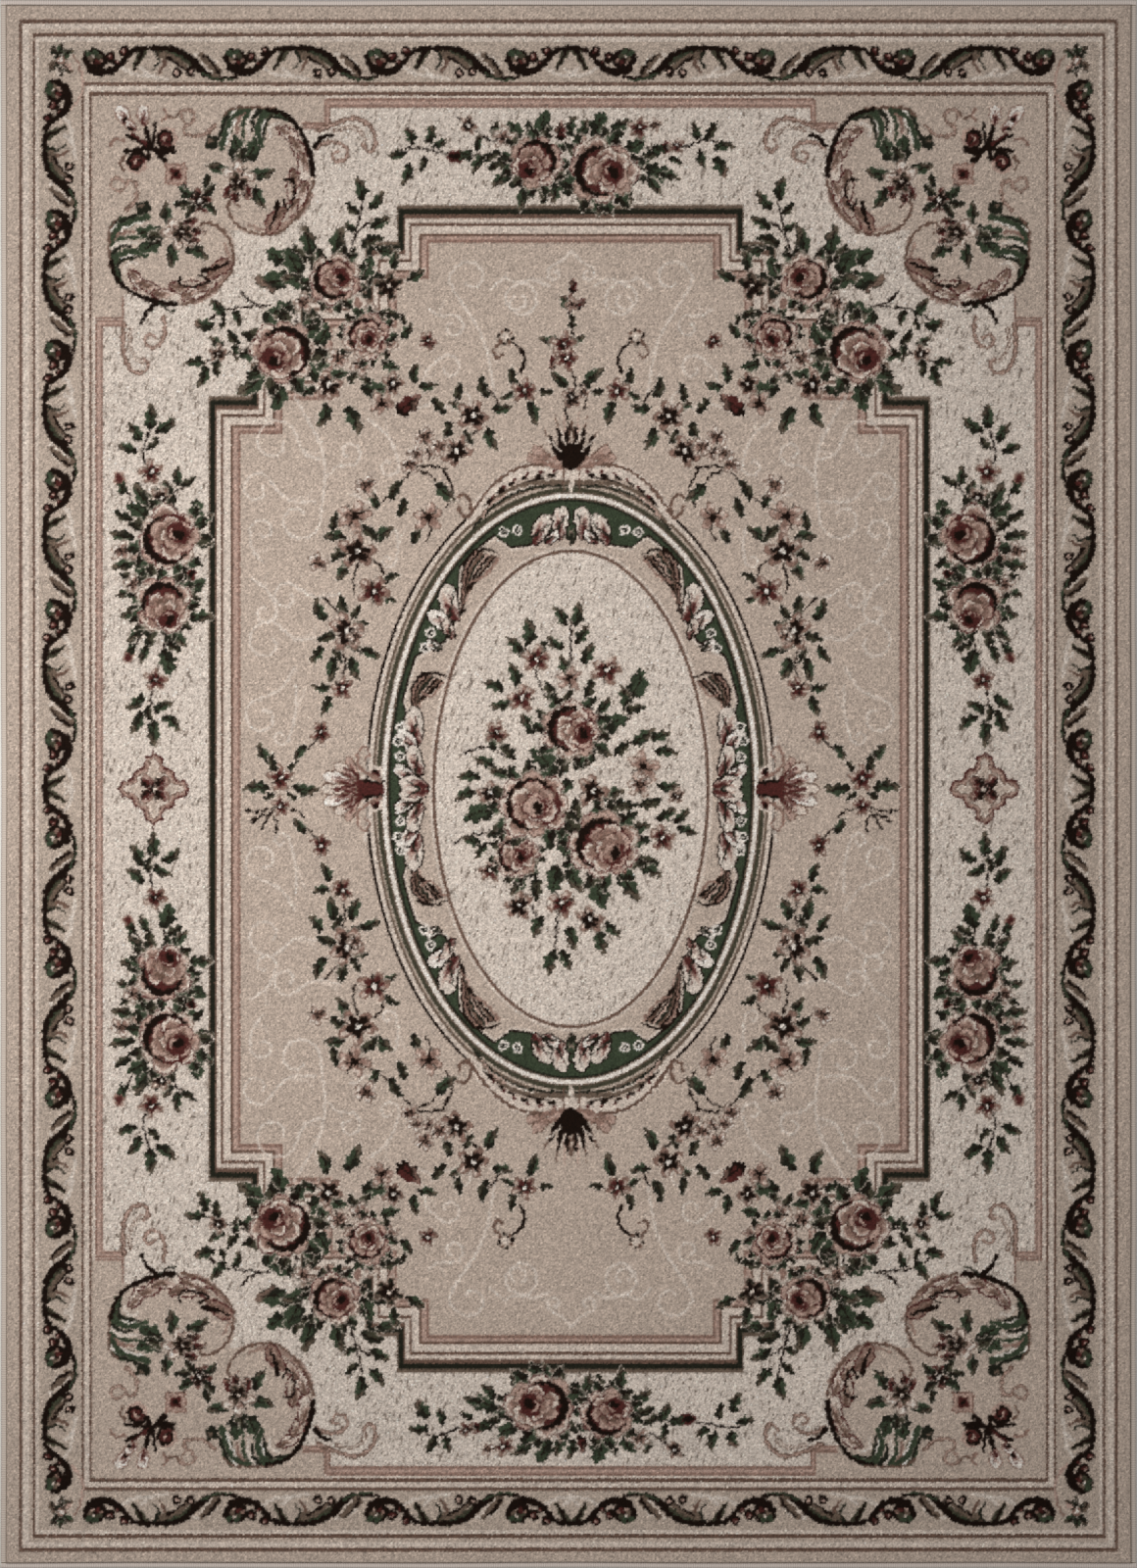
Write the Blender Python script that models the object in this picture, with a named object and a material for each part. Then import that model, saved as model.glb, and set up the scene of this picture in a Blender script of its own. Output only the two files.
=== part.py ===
import math

import bmesh
import bpy
from mathutils import Vector

# Driving dimensions, in metres. The rug lies flat, +X across its width and +Y along its length.
RUG_WIDTH = 1.60
RUG_LENGTH = 2.21
RUG_THICKNESS = 0.0100

# Overcast edge: yarn wound round the bare woven margin of the cloth
OVERCAST_WIDTH = 0.0070
OVERCAST_HEIGHT = 0.0054
OVERCAST_YARN = 0.0012
SEAT_GAP = 0.0003

# Bare woven margin that the overcast yarn is wound round
MARGIN_INSET = 0.0013

# Woven ground under the pile, and the pile's rounded top edge
GROUND_RISE = 0.0012
PILE_FOOT_INSET = OVERCAST_WIDTH + 2 * SEAT_GAP
PILE_STEPS = ((0.0003, 0.70), (0.0007, 0.20), (0.0012, 0.08), (0.0018, 0.02))

# Slight unevenness of the four edges, always inward from the nominal rectangle
WAVE_DEPTH = 0.0011
STATION_STEP = 0.065
EDGE_WAVES = {"left": (3, 7), "right": (4, 9), "top": (2, 5), "bottom": (3, 5)}

# Steps in each quarter of the overcast edge's round outer side
ROUND_STEPS = 4

# Colours, roughness and metallic value of the two finishes
PILE_COLOUR = (0.42, 0.33, 0.27, 1.0)
OVERCAST_COLOUR = (0.50, 0.41, 0.35, 1.0)
CLOTH_ROUGHNESS = 0.95
CLOTH_METALLIC = 0.0


def remove_objects():
    for old in list(bpy.data.objects):
        bpy.data.objects.remove(old, do_unlink=True)


def make_collection(name):
    collection = bpy.data.collections.new(name)
    bpy.context.scene.collection.children.link(collection)
    return collection


def make_material(name, colour):
    material = bpy.data.materials.new(name)
    material.use_nodes = True
    shader = material.node_tree.nodes["Principled BSDF"]
    shader.inputs["Base Color"].default_value = colour
    shader.inputs["Roughness"].default_value = CLOTH_ROUGHNESS
    shader.inputs["Metallic"].default_value = CLOTH_METALLIC
    return material


def add_object(name, bm, collection, material):
    mesh = bpy.data.meshes.new(name)
    bm.to_mesh(mesh)
    bm.free()
    mesh.materials.append(material)
    mesh.shade_smooth()
    mesh.set_sharp_from_angle(angle=math.radians(50))
    piece = bpy.data.objects.new(name, mesh)
    collection.objects.link(piece)
    return piece


def inward(side, share):
    """Distance that a side lies inside the nominal rectangle, zero at both its ends."""
    slow, fast = EDGE_WAVES[side]
    swell = math.sin(math.pi * slow * share) ** 2
    ripple = math.sin(math.pi * fast * share) ** 2
    return WAVE_DEPTH * (0.65 * swell + 0.35 * ripple)


def stations(low, high):
    """Evenly spaced places from low to high, about one station step apart."""
    count = max(2, round((high - low) / STATION_STEP))
    return [low + (high - low) * i / count for i in range(count + 1)]


def side_x(side, y, inset):
    sign = -1 if side == "left" else 1
    share = y / RUG_LENGTH + 0.5
    return sign * (RUG_WIDTH / 2 - inward(side, share) - inset)


def end_y(side, x, inset):
    sign = -1 if side == "bottom" else 1
    share = x / RUG_WIDTH + 0.5
    return sign * (RUG_LENGTH / 2 - inward(side, share) - inset)


def outline(inset):
    """The rug's uneven outline, moved inward, anticlockwise from above."""
    half_width = RUG_WIDTH / 2 - inset
    half_length = RUG_LENGTH / 2 - inset
    across = stations(-half_width, half_width)[1:-1]
    along = stations(-half_length, half_length)[1:-1]
    points = [(-half_width, -half_length)]
    points += [(x, end_y("bottom", x, inset)) for x in across]
    points += [(half_width, -half_length)]
    points += [(side_x("right", y, inset), y) for y in along]
    points += [(half_width, half_length)]
    points += [(x, end_y("top", x, inset)) for x in reversed(across)]
    points += [(-half_width, half_length)]
    points += [(side_x("left", y, inset), y) for y in reversed(along)]
    return points


def make_rug_body(collection, material):
    """The cloth: woven ground with its cut pile, and the bare margin all round it."""
    margin_bottom = OVERCAST_YARN + SEAT_GAP
    margin_top = OVERCAST_HEIGHT - OVERCAST_YARN - SEAT_GAP
    bm = bmesh.new()
    corners = [bm.verts.new((x, y, margin_bottom)) for x, y in outline(MARGIN_INSET)]
    bottom = bm.faces.new(corners)
    bottom.normal_flip()

    # The margin's own thickness
    lifted = bmesh.ops.extrude_face_region(bm, geom=[bottom])
    raised = [v for v in lifted["geom"] if isinstance(v, bmesh.types.BMVert)]
    bmesh.ops.translate(bm, verts=raised, vec=(0, 0, margin_top - margin_bottom))
    bmesh.ops.recalc_face_normals(bm, faces=bm.faces)
    bm.faces.ensure_lookup_table()
    top = max(bm.faces, key=lambda face: face.calc_center_median().z)
    bottom = min(bm.faces, key=lambda face: face.calc_center_median().z)

    # Woven ground down to the floor, inside the overcast edge
    to_foot = PILE_FOOT_INSET - MARGIN_INSET
    bmesh.ops.inset_region(bm, faces=[bottom], thickness=to_foot, use_even_offset=True)
    bmesh.ops.inset_region(
        bm, faces=[bottom], thickness=GROUND_RISE, depth=margin_bottom, use_even_offset=True
    )

    # Pile up from the margin, steep at its foot and rounded over at its top
    pile_height = RUG_THICKNESS - margin_top
    bmesh.ops.inset_region(bm, faces=[top], thickness=to_foot, use_even_offset=True)
    for thickness, share in PILE_STEPS:
        bmesh.ops.inset_region(
            bm, faces=[top], thickness=thickness, depth=pile_height * share, use_even_offset=True
        )
    return add_object("rug_body", bm, collection, material)


def overcast_section():
    """Closed section of the wound edge: distance in from the rug's edge, and height."""
    half = OVERCAST_HEIGHT / 2
    slot_half = half - OVERCAST_YARN
    slot_end = MARGIN_INSET - SEAT_GAP
    points = [(OVERCAST_WIDTH, 0.0)]
    points += [
        (half - half * math.sin(turn), half - half * math.cos(turn))
        for turn in [math.pi * i / (2 * ROUND_STEPS) for i in range(2 * ROUND_STEPS + 1)]
    ]
    points += [
        (OVERCAST_WIDTH, OVERCAST_HEIGHT),
        (OVERCAST_WIDTH, half + slot_half),
        (slot_end, half + slot_half),
        (slot_end, half - slot_half),
        (OVERCAST_WIDTH, half - slot_half),
    ]
    return points


def make_overcast(name, places, place_point, collection, material):
    """Carry the overcast section along one edge, from the first place to the last."""
    bm = bmesh.new()
    ring = [bm.verts.new(place_point(places[0], inset, z)) for inset, z in overcast_section()]
    front = bm.faces.new(ring)
    for place, following in zip(places, places[1:]):
        moved = bmesh.ops.extrude_face_region(bm, geom=[front])
        if place != places[0]:
            bmesh.ops.delete(bm, geom=[front], context="FACES_ONLY")
        front = next(item for item in moved["geom"] if isinstance(item, bmesh.types.BMFace))
        step = Vector(place_point(following, 0, 0)) - Vector(place_point(place, 0, 0))
        bmesh.ops.translate(bm, verts=list(front.verts), vec=step)
    bmesh.ops.recalc_face_normals(bm, faces=bm.faces)
    return add_object(name, bm, collection, material)


def main():
    remove_objects()
    collection = make_collection("rug")
    pile = make_material("pile", PILE_COLOUR)
    yarn = make_material("overcast_yarn", OVERCAST_COLOUR)
    make_rug_body(collection, pile)
    corner_share = OVERCAST_WIDTH / RUG_WIDTH
    corner_wave = max(inward("top", corner_share), inward("bottom", corner_share))
    limit = RUG_LENGTH / 2 - OVERCAST_WIDTH - corner_wave - SEAT_GAP
    for side in ("left", "right"):
        make_overcast(
            f"overcast_side_{side}",
            stations(-limit, limit),
            lambda y, inset, z, side=side: (side_x(side, y, inset), y, z),
            collection,
            yarn,
        )
    for side in ("top", "bottom"):
        make_overcast(
            f"overcast_end_{side}",
            stations(-RUG_WIDTH / 2, RUG_WIDTH / 2),
            lambda x, inset, z, side=side: (x, end_y(side, x, inset), z),
            collection,
            yarn,
        )


main()
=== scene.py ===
import math

import bmesh
import bpy
import numpy as np
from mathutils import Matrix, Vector


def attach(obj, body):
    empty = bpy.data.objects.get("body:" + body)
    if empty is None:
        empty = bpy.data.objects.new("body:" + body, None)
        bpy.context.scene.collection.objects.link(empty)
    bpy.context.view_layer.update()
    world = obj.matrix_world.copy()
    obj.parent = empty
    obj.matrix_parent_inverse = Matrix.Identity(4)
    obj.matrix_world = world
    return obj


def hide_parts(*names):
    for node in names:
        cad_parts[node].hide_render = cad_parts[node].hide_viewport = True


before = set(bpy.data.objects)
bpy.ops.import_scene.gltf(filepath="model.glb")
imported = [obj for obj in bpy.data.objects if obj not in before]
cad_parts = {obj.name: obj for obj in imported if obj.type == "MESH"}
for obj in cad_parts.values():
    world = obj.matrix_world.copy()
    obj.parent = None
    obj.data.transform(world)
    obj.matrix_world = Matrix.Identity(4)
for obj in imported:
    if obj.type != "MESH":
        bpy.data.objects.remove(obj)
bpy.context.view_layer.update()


# Yarn colours as they look in daylight, 0 to 255
yarns = {
    "tan": (183, 166, 153),
    "border": (177, 161, 148),
    "cream": (206, 193, 182),
    "fleck": (120, 107, 97),
    "pale": (205, 190, 178),
    "pink": (176, 149, 137),
    "mauve": (136, 108, 97),
    "taupe": (104, 88, 76),
    "brown": (104, 81, 70),
    "burgundy": (76, 38, 35),
    "green": (57, 66, 50),
    "olive": (66, 63, 50),
    "dark": (35, 35, 27),
    "black": (27, 17, 12),
    "white": (222, 212, 203),
}


class Cloth:
    # A painted plan of the rug's colours, one cell for each chart square
    def __init__(self, width, height, yarn=None):
        self.width = width
        self.height = height
        self.paint = np.zeros((height, width, 3), np.float32)
        self.cover = np.zeros((height, width), np.float32)
        if yarn:
            self.paint[:] = yarns[yarn]
            self.cover[:] = 1

    def window(self, x, y, reach, reachY=None):
        reachY = reachY or reach
        left = max(0, int(x - reach))
        right = min(self.width, int(x + reach) + 1)
        top = max(0, int(y - reachY))
        bottom = min(self.height, int(y + reachY) + 1)
        if right <= left or bottom <= top:
            return None
        down, across = np.mgrid[top:bottom, left:right]
        return (slice(top, bottom), slice(left, right)), across + 0.5, down + 0.5

    def lay(self, part, amount, yarn):
        # Lays a yarn over a part of the cloth; amount 1 hides what was there
        amount = np.clip(amount, 0, 1)
        colour = np.array(yarns[yarn], np.float32)
        under = self.cover[part]
        over = amount + under * (1 - amount)
        share = amount / np.maximum(over, 1e-6)
        self.paint[part] += (colour - self.paint[part]) * share[..., None]
        self.cover[part] = over

    def layCloth(self, other, x, y):
        # Lays another cloth over this one, read at the places x, y
        col = np.clip(x.astype(int), 0, other.width - 1)
        row = np.clip(y.astype(int), 0, other.height - 1)
        inside = (x >= 0) & (x < other.width) & (y >= 0) & (y < other.height)
        paint = other.paint[row, col]
        cover = other.cover[row, col] * inside
        self.paint += (paint - self.paint) * cover[..., None]
        self.cover = cover + self.cover * (1 - cover)

    # Turned places: s runs along the heading, t to its right; heading 0 is up, 90 is right
    def along(self, x, y, across, down, heading):
        turn = np.radians(heading)
        dx, dy = across - x, down - y
        return dx * np.sin(turn) - dy * np.cos(turn), dx * np.cos(turn) + dy * np.sin(turn)

    def dot(self, x, y, radius, yarn, tall=1.0, heading=0, strength=1.0):
        found = self.window(x, y, radius * max(1, tall) + 2)
        if not found:
            return
        part, across, down = found
        s, t = self.along(x, y, across, down, heading)
        gap = radius - np.hypot(s / tall, t)
        self.lay(part, np.clip(gap + 0.5, 0, 1) * strength, yarn)

    def ring(self, x, y, radius, yarn, width=1.6, heart=None):
        found = self.window(x, y, radius + width + 1)
        if not found:
            return
        part, across, down = found
        away = np.hypot(across - x, down - y)
        if heart:
            self.lay(part, radius - away + 0.5, heart)
        self.lay(part, width / 2 - abs(away - radius) + 0.5, yarn)

    def stem(self, points, yarn, width=1.8, taper=(1, 1), curved=True, strength=1.0):
        # A smooth line through a few points, its width running from taper[0] to taper[1]
        line = np.array(points, float)
        if curved and len(line) > 2:
            line = smoothLine(line)
        low, high = line.min(0) - width - 2, line.max(0) + width + 2
        middle, reach = (low + high) / 2, (high - low) / 2
        found = self.window(middle[0], middle[1], reach[0], reach[1])
        if not found:
            return
        part, across, down = found
        best = np.full(across.shape, 1e9)
        steps = np.linspace(0, 1, len(line))
        for i in range(len(line) - 1):
            a, b = line[i], line[i + 1]
            d = b - a
            size = max(d @ d, 1e-9)
            share = np.clip(((across - a[0]) * d[0] + (down - a[1]) * d[1]) / size, 0, 1)
            away = np.hypot(across - a[0] - share * d[0], down - a[1] - share * d[1])
            place = steps[i] + share * (steps[i + 1] - steps[i])
            half = width / 2 * (taper[0] + (taper[1] - taper[0]) * place)
            best = np.minimum(best, away - half)
        self.lay(part, np.clip(0.5 - best, 0, 1) * strength, yarn)

    def curl(self, x, y, radius, yarn, start=0, turns=1.2, width=1.8, spin=1, tail=()):
        # A spiral that opens from its middle out to the radius, then an optional tail
        count = int(8 * turns) + 2
        points = []
        for i in range(count):
            share = i / (count - 1)
            angle = np.radians(start) - spin * 2 * np.pi * turns * (1 - share)
            reach = radius * (0.25 + 0.75 * share)
            points.append((x + reach * np.sin(angle), y - reach * np.cos(angle)))
        self.stem(points + list(tail), yarn, width, (0.8, 1.1))
        self.dot(points[0][0], points[0][1], width * 0.9, yarn)

    def leaf(self, x, y, size, heading, yarn="green", tip="taupe", shade="dark", wide=0.42, halo=0.6):
        # A ragged pointed leaf: dark side and vein, faded tip, pale line round it
        half = size * wide / 2
        found = self.window(x, y, size * 0.5 + 5)
        if not found:
            return
        part, across, down = found
        phase = x * 1.7 + y * 2.3
        s, t = self.along(x, y, across, down, heading)
        s = s / (size / 2)
        t = t / half + 0.45 * np.sin(phase) * np.cos(1.7 * s)
        if np.cos(phase * 3) < 0:
            t = -t
        taper = np.clip(1 - s * s, 0, 1) ** 0.7 * (1 - 0.22 * s + 0.20 * np.sin(8.5 * s + phase))
        gap = (taper - abs(t)) * half
        inside = abs(s) < 1.10
        if halo:
            self.lay(part, (gap + 1.9) * inside * halo, "pale")
        body = np.clip(gap + 0.6, 0, 1) * (abs(s) < 1)
        self.lay(part, body, yarn)
        self.lay(part, body * np.clip((t - 0.15 + 0.35 * np.sin(5 * s + phase)) * 4, 0, 1), shade)
        self.lay(part, body * np.clip((-0.45 - s) * 5, 0, 1), shade)
        self.lay(part, body * np.clip((s - 0.20 + 0.5 * t) * 3, 0, 1) * 0.8, tip)
        self.lay(part, body * np.clip(1.3 - abs(t) * half, 0, 1) * (s < 0.62) * 0.9, "black")
        self.lay(part, body * np.clip(1.2 - abs(gap - 0.5), 0, 1) * (t > 0) * 0.9, shade)

    def lobe(self, x, y, size, heading, yarn="cream", inner="burgundy", wide=0.46, edge="black"):
        # A smooth acanthus lobe: round head, dark edge and a coloured fold that runs up from its foot
        half = size * wide / 2
        found = self.window(x, y, size * 0.5 + 4)
        if not found:
            return
        part, across, down = found
        s, t = self.along(x, y, across, down, heading)
        s = s / (size / 2)
        t = t / half + 0.35 * np.sin(x + y) * np.cos(1.6 * s)
        gap = (np.clip(1 - s * s, 0, 1) ** 0.5 * (1 + 0.28 * s) - abs(t)) * half
        inside = abs(s) < 1.06
        self.lay(part, (gap + 2.0) * inside, edge)
        body = np.clip(gap + 0.3, 0, 1) * (abs(s) < 1)
        self.lay(part, body, yarn)
        fold = body * np.clip((0.30 - s - 0.8 * t) * 4, 0, 1)
        self.lay(part, fold * np.clip(1.5 - abs(t + 0.1) * 2.2, 0, 1), "pink")
        fold = body * np.clip((0.05 - s - 0.6 * t) * 4, 0, 1)
        self.lay(part, fold * np.clip(1.6 - abs(t + 0.1) * 3, 0, 1), inner)
        self.lay(part, body * np.clip(1.2 - abs(t - 0.35 + 0.3 * s) * half, 0, 1) * (s < 0.5) * 0.8, inner)

    def bloom(self, x, y, size, turn=0, petals=5, yarn="mauve", rim="pale", star="burgundy", eye="white"):
        # A small open flower of separate petals: pale on one edge, a dark heart and dark strokes between
        phase = x * 1.3 + y * 0.7
        rows = []
        for i in range(petals):
            heading = turn + 360 / petals * i + 13 * np.sin(phase + 2.1 * i)
            reach = size * (0.56 + 0.06 * np.sin(phase * 2 + 1.7 * i))
            a = np.radians(heading)
            rows.append((heading, a, x + reach * np.sin(a), y - reach * np.cos(a)))
        wide = size * (0.27 if petals > 4 else 0.32)
        for heading, a, px, py in rows:
            self.dot(px, py, wide + 1.9, "pale", 1.45, heading, 0.6)
        for heading, a, px, py in rows:
            self.dot(px, py, wide + 0.5, "brown", 1.55, heading, 0.9)
            self.dot(px, py, wide - 0.5, yarn, 1.55, heading)
            self.dot(px - 0.34 * wide, py - 0.38 * wide, wide * 0.45, rim, 1.8, heading, 0.8)
            foot = ((px + x) / 2 + 0.15 * wide, (py + y) / 2 + 0.15 * wide)
            self.dot(*foot, wide * 0.72, star, 2.0, heading)
        for i, (heading, a, px, py) in enumerate(rows):
            between = a + np.pi / petals
            far = size * (0.78 if (i + int(x)) % 2 else 0.5)
            end = (x + far * np.sin(between), y - far * np.cos(between))
            self.stem([(x, y), end], "black", 2.0, (1.5, 0.5), False, 0.9)
        self.dot(x, y, size * 0.22, "black")
        if eye:
            self.dot(x + size * 0.05, y - size * 0.03, max(1.2, size * 0.13), eye, 1.2, turn)

    def bud(self, x, y, size, heading, yarn="mauve", heart="burgundy", cup="green"):
        # A closed bud in its green cup
        turn = np.radians(heading)
        back = (x - 0.42 * size * np.sin(turn), y + 0.42 * size * np.cos(turn))
        self.dot(x, y, size * 0.36, "pale", 1.5, heading, 0.7)
        self.dot(x, y, size * 0.30, yarn, 1.5, heading)
        tip = (x + 0.1 * size * np.sin(turn), y - 0.1 * size * np.cos(turn))
        self.dot(*tip, size * 0.16, heart, 1.6, heading)
        self.leaf(back[0], back[1], size * 0.75, heading - 35, cup, shade="dark", tip=cup, halo=0)
        self.leaf(back[0], back[1], size * 0.75, heading + 35, cup, shade="dark", tip=cup, halo=0)

    def arc(self, x, y, reach, start, sweep, yarn, width, strength=1.0, grow=0.0):
        # Part of a ring round x, y from the start heading, drawn thick in its middle
        line = []
        for k in range(7):
            a = np.radians(start + sweep * k / 6)
            far = reach * (1 + grow * k / 6)
            line.append((x + far * np.sin(a), y - far * np.cos(a)))
        self.stem(line[:4], yarn, width, (0.4, 1.3), strength=strength)
        self.stem(line[3:], yarn, width, (1.3, 0.4), strength=strength)

    def rose(self, x, y, size, heartX=0.0, heartY=0.0, turn=0, heart="burgundy"):
        # A full rose: leaves behind it, then rings of overlapping petals and a deep heart off its middle
        stray = np.random.default_rng(int(x * 7 + y))
        for i in range(11):
            heading = turn + i * 33 + stray.uniform(-12, 12)
            a = np.radians(heading)
            yarn = "green" if i % 3 else "olive"
            leafX, leafY = x + 0.93 * size * np.sin(a), y - 0.93 * size * np.cos(a)
            self.leaf(leafX, leafY, size * 0.8, heading, yarn, "dark", "black", 0.5)
        lean = np.degrees(np.arctan2(heartX, -heartY)) if heartX or heartY else turn
        for count, far, wide, shift in ((8, 0.66, 0.31, 0.0), (6, 0.40, 0.28, 0.35), (4, 0.20, 0.22, 0.6)):
            cx, cy = x + heartX * size * shift, y + heartY * size * shift
            if shift == 0.35:
                self.dot(x, y, size * 0.62, "burgundy")
                self.arc(x, y, size * 0.70, lean + 80, 210, "black", size * 0.19)
                self.arc(x, y, size * 0.70, lean - 70, 90, "burgundy", size * 0.12)
            for i in stray.permutation(count):
                a = np.radians(turn + i * 360 / count + stray.uniform(-12, 12))
                reach = size * far * stray.uniform(0.88, 1.1)
                r = size * wide * stray.uniform(0.8, 1.15)
                px, py = cx + reach * np.sin(a), cy - reach * np.cos(a)
                towards = 0.5 + 0.5 * np.cos(a - np.radians(lean))
                if shift == 0:
                    self.dot(px, py, r + 2.2, "pale", strength=0.7)
                self.dot(px, py, r + 1.0, "burgundy" if stray.random() < 0.6 else "brown")
                self.dot(px, py, r - 0.2, "pink" if stray.random() < 0.5 else "pale")
                fold = (px - 0.30 * r * np.sin(a + 0.5), py + 0.30 * r * np.cos(a + 0.5))
                self.dot(*fold, r * 0.88, "mauve")
                deep = "burgundy" if stray.random() + 0.5 * towards > 0.75 else "brown"
                foot = (px - 0.62 * r * np.sin(a - 0.4), py + 0.62 * r * np.cos(a - 0.4))
                self.dot(*foot, r * 0.50, deep, 1.35, np.degrees(a) + 90)
                self.arc(px, py, r * 0.62, np.degrees(a) - 60, 90, "pink", r * 0.24)
        hx, hy = x + heartX * size, y + heartY * size
        self.dot(hx, hy, size * 0.27, heart, 1.25, lean + 80)
        self.dot(hx + 0.05 * size, hy + 0.06 * size, size * 0.13, "black", 1.5, lean + 60)
        self.arc(hx, hy, size * 0.25, lean - 100, 140, "burgundy", size * 0.09, 1.0, 0.15)
        self.arc(hx, hy, size * 0.19, lean + 130, 130, "pink", size * 0.06)
        self.arc(hx, hy, size * 0.34, lean + 10, 110, "burgundy", size * 0.07)


def smoothLine(line, steps=6):
    # Catmull-Rom curve through the points
    ends = np.vstack((2 * line[0] - line[1], line, 2 * line[-1] - line[-2]))
    out = []
    for i in range(len(line) - 1):
        a, b, c, d = ends[i : i + 4]
        for share in np.arange(steps) / steps:
            second = (2 * a - 5 * b + 4 * c - d) * share**2
            third = (3 * b - a - 3 * c + d) * share**3
            out.append(0.5 * (2 * b + (c - a) * share + second + third))
    out.append(line[-1])
    return np.array(out)


middleX, middleY = 583, 805
chartWidth, chartHeight = 1160, 1600


# borders
outerBands = (  # left, top, yarn
    (0, 0, "tan"),
    (19.2, 20.3, "brown"),
    (22.3, 24.3, "pale"),
    (29, 29.8, "tan"),
    (33, 34, "brown"),
    (35.4, 38, "pale"),
    (39, 43, "border"),
    (83, 84.3, "brown"),
    (85.3, 87.8, "pale"),
    (90.8, 93.8, "brown"),
    (93.2, 98, "tan"),
)
creamBands = (  # left, top, yarn
    (94, 98, "pale"),
    (97, 100.5, "mauve"),
    (99, 103.5, "pink"),
    (102.6, 107.4, "mauve"),
    (104.6, 110.5, "cream"),
)
stepCorners = (  # across, down
    (406.5, 213.5), (374, 250.5), (308, 300), (257, 374), (214, 408.5),
)
stepBands = (  # left, top, yarn, from the corner of the near-black line
    (-1.5, -4, "taupe"),
    (0, 0, "dark"),
    (5.2, 5.6, "brown"),
    (6.8, 10, "pale"),
    (11.2, 14.3, "brown"),
    (13.6, 17.6, "pale"),
    (21.0, 25.2, "brown"),
    (23.6, 28, "pink"),
    (28.4, 31, "mauve"),
    (31, 34.6, "tan"),
)


def paintGround(cloth):
    part, across, down = cloth.window(middleX / 2, middleY / 2, middleX / 2, middleY / 2)
    for left, top, yarn in outerBands:
        cloth.lay(part, np.minimum(across - left, down - top) + 0.5, yarn)
    # cream band, left out of the corner
    for left, top, yarn in creamBands:
        inset = left - 94
        corner = np.maximum(
            np.minimum(331 + inset * 0.5 - across, 125 + inset * 0.7 - down),
            np.minimum(125 + inset * 0.1 - across, 324 + inset * 0.9 - down),
        )
        corner = np.maximum(corner, np.minimum(309 - across, 131 - down))
        corner = np.maximum(corner, 57 - np.hypot((across - 265) * 1.04, (down - 176) * 0.89))
        corner = np.maximum(corner, 57 - np.hypot((across - 175) * 0.89, (down - 258) * 1.06))
        between = np.minimum(np.minimum(245 - across, 235 - down), 560 - across - down * 1.2)
        corner = np.maximum(corner, between)
        corner = np.maximum(corner, np.minimum(150 - across, 300 - down))
        cloth.lay(part, np.minimum(np.minimum(across - left, down - top), -corner) + 0.5, yarn)
    # stepped double line at the corner
    cloth.stem([(331.5, 103), (331.5, 126), (309, 126)], "mauve", 2.2, curved=False)
    cloth.stem([(336, 108), (336, 131), (312, 131)], "mauve", 1.8, curved=False)
    cloth.stem([(98, 325), (125, 325), (125, 303)], "mauve", 2.2, curved=False)
    cloth.stem([(104, 332.5), (126, 332.5)], "mauve", 1.8, curved=False)


def paintSteps(cloth):
    part, across, down = cloth.window(middleX / 2, middleY / 2, middleX / 2, middleY / 2)
    for left, top, yarn in stepBands:
        inside = np.full(across.shape, -9.0)
        for cornerX, cornerY in stepCorners:
            inside = np.maximum(inside, np.minimum(across - cornerX - left, down - cornerY - top))
        cloth.lay(part, inside + 0.5, yarn)


# medallion: nested ovals about the middle
ovals = (  # half width, half height, yarn
    (210.5, 321.5, "black"),
    (207.8, 318.8, "pale"),
    (203.5, 314.0, "taupe"),
    (200.8, 310.5, "border"),
    (199.2, 307.5, "olive"),
    (195.2, 303.0, "taupe"),
    (193.6, 301.5, "white"),
    (189.0, 297.0, "taupe"),
    (187.2, 295.4, "dark"),
    (184.6, 293.2, "green"),
)
bandEdge = (  # angle from the top in degrees, share of the oval
    (0, 0.885), (8, 0.875), (16, 0.875), (22, 0.90), (26, 0.975), (39, 0.985),
    (43, 0.92), (48, 0.865), (54, 0.865),
    (59, 0.93), (62, 0.975), (72, 0.98), (76, 0.92), (81, 0.86), (90, 0.83),
)


def ovalGap(across, down, halfWidth, halfHeight):
    # Rough distance inside an oval about the middle, in squares
    dx, dy = (across - middleX) / halfWidth, (down - middleY) / halfHeight
    away = np.hypot(dx, dy) + 1e-6
    slope = np.hypot(dx / halfWidth, dy / halfHeight) / away + 1e-9
    return (1 - away) / slope


def paintMedallion(cloth):
    part, across, down = cloth.window(middleX / 2, middleY / 2, middleX / 2, middleY / 2)
    for halfWidth, halfHeight, yarn in ovals:
        cloth.lay(part, ovalGap(across, down, halfWidth, halfHeight) + 0.5, yarn)
    # scalloped inner edge of the green band and its fillings
    angle = np.degrees(np.arctan2((middleX - across) / 183, (middleY - down) / 293))
    inner = np.interp(angle, *zip(*bandEdge))
    inward = ovalGap(across, down, 184 * inner, 294 * inner)
    cloth.lay(part, inward + 2.4, "black")
    cloth.lay(part, inward + 0.3, "pale")
    cloth.lay(part, inward - 2.2, "tan")
    cloth.lay(part, ovalGap(across, down, 145, 247) + 0.5, "pale")
    cloth.lay(part, (ovalGap(across, down, 142.3, 244.3) + 0.5) * 0.85, "brown")
    cloth.lay(part, ovalGap(across, down, 138.8, 240.8) + 0.5, "cream")


weaving = {"rightTight": 0.990, "footTight": 0.963, "footStart": 590}


def tightened(below):
    # The weave runs a little tighter at the foot of the rug
    start = weaving["footStart"]
    return np.where(below < start, below, start + (below - start) / weaving["footTight"])


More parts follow.
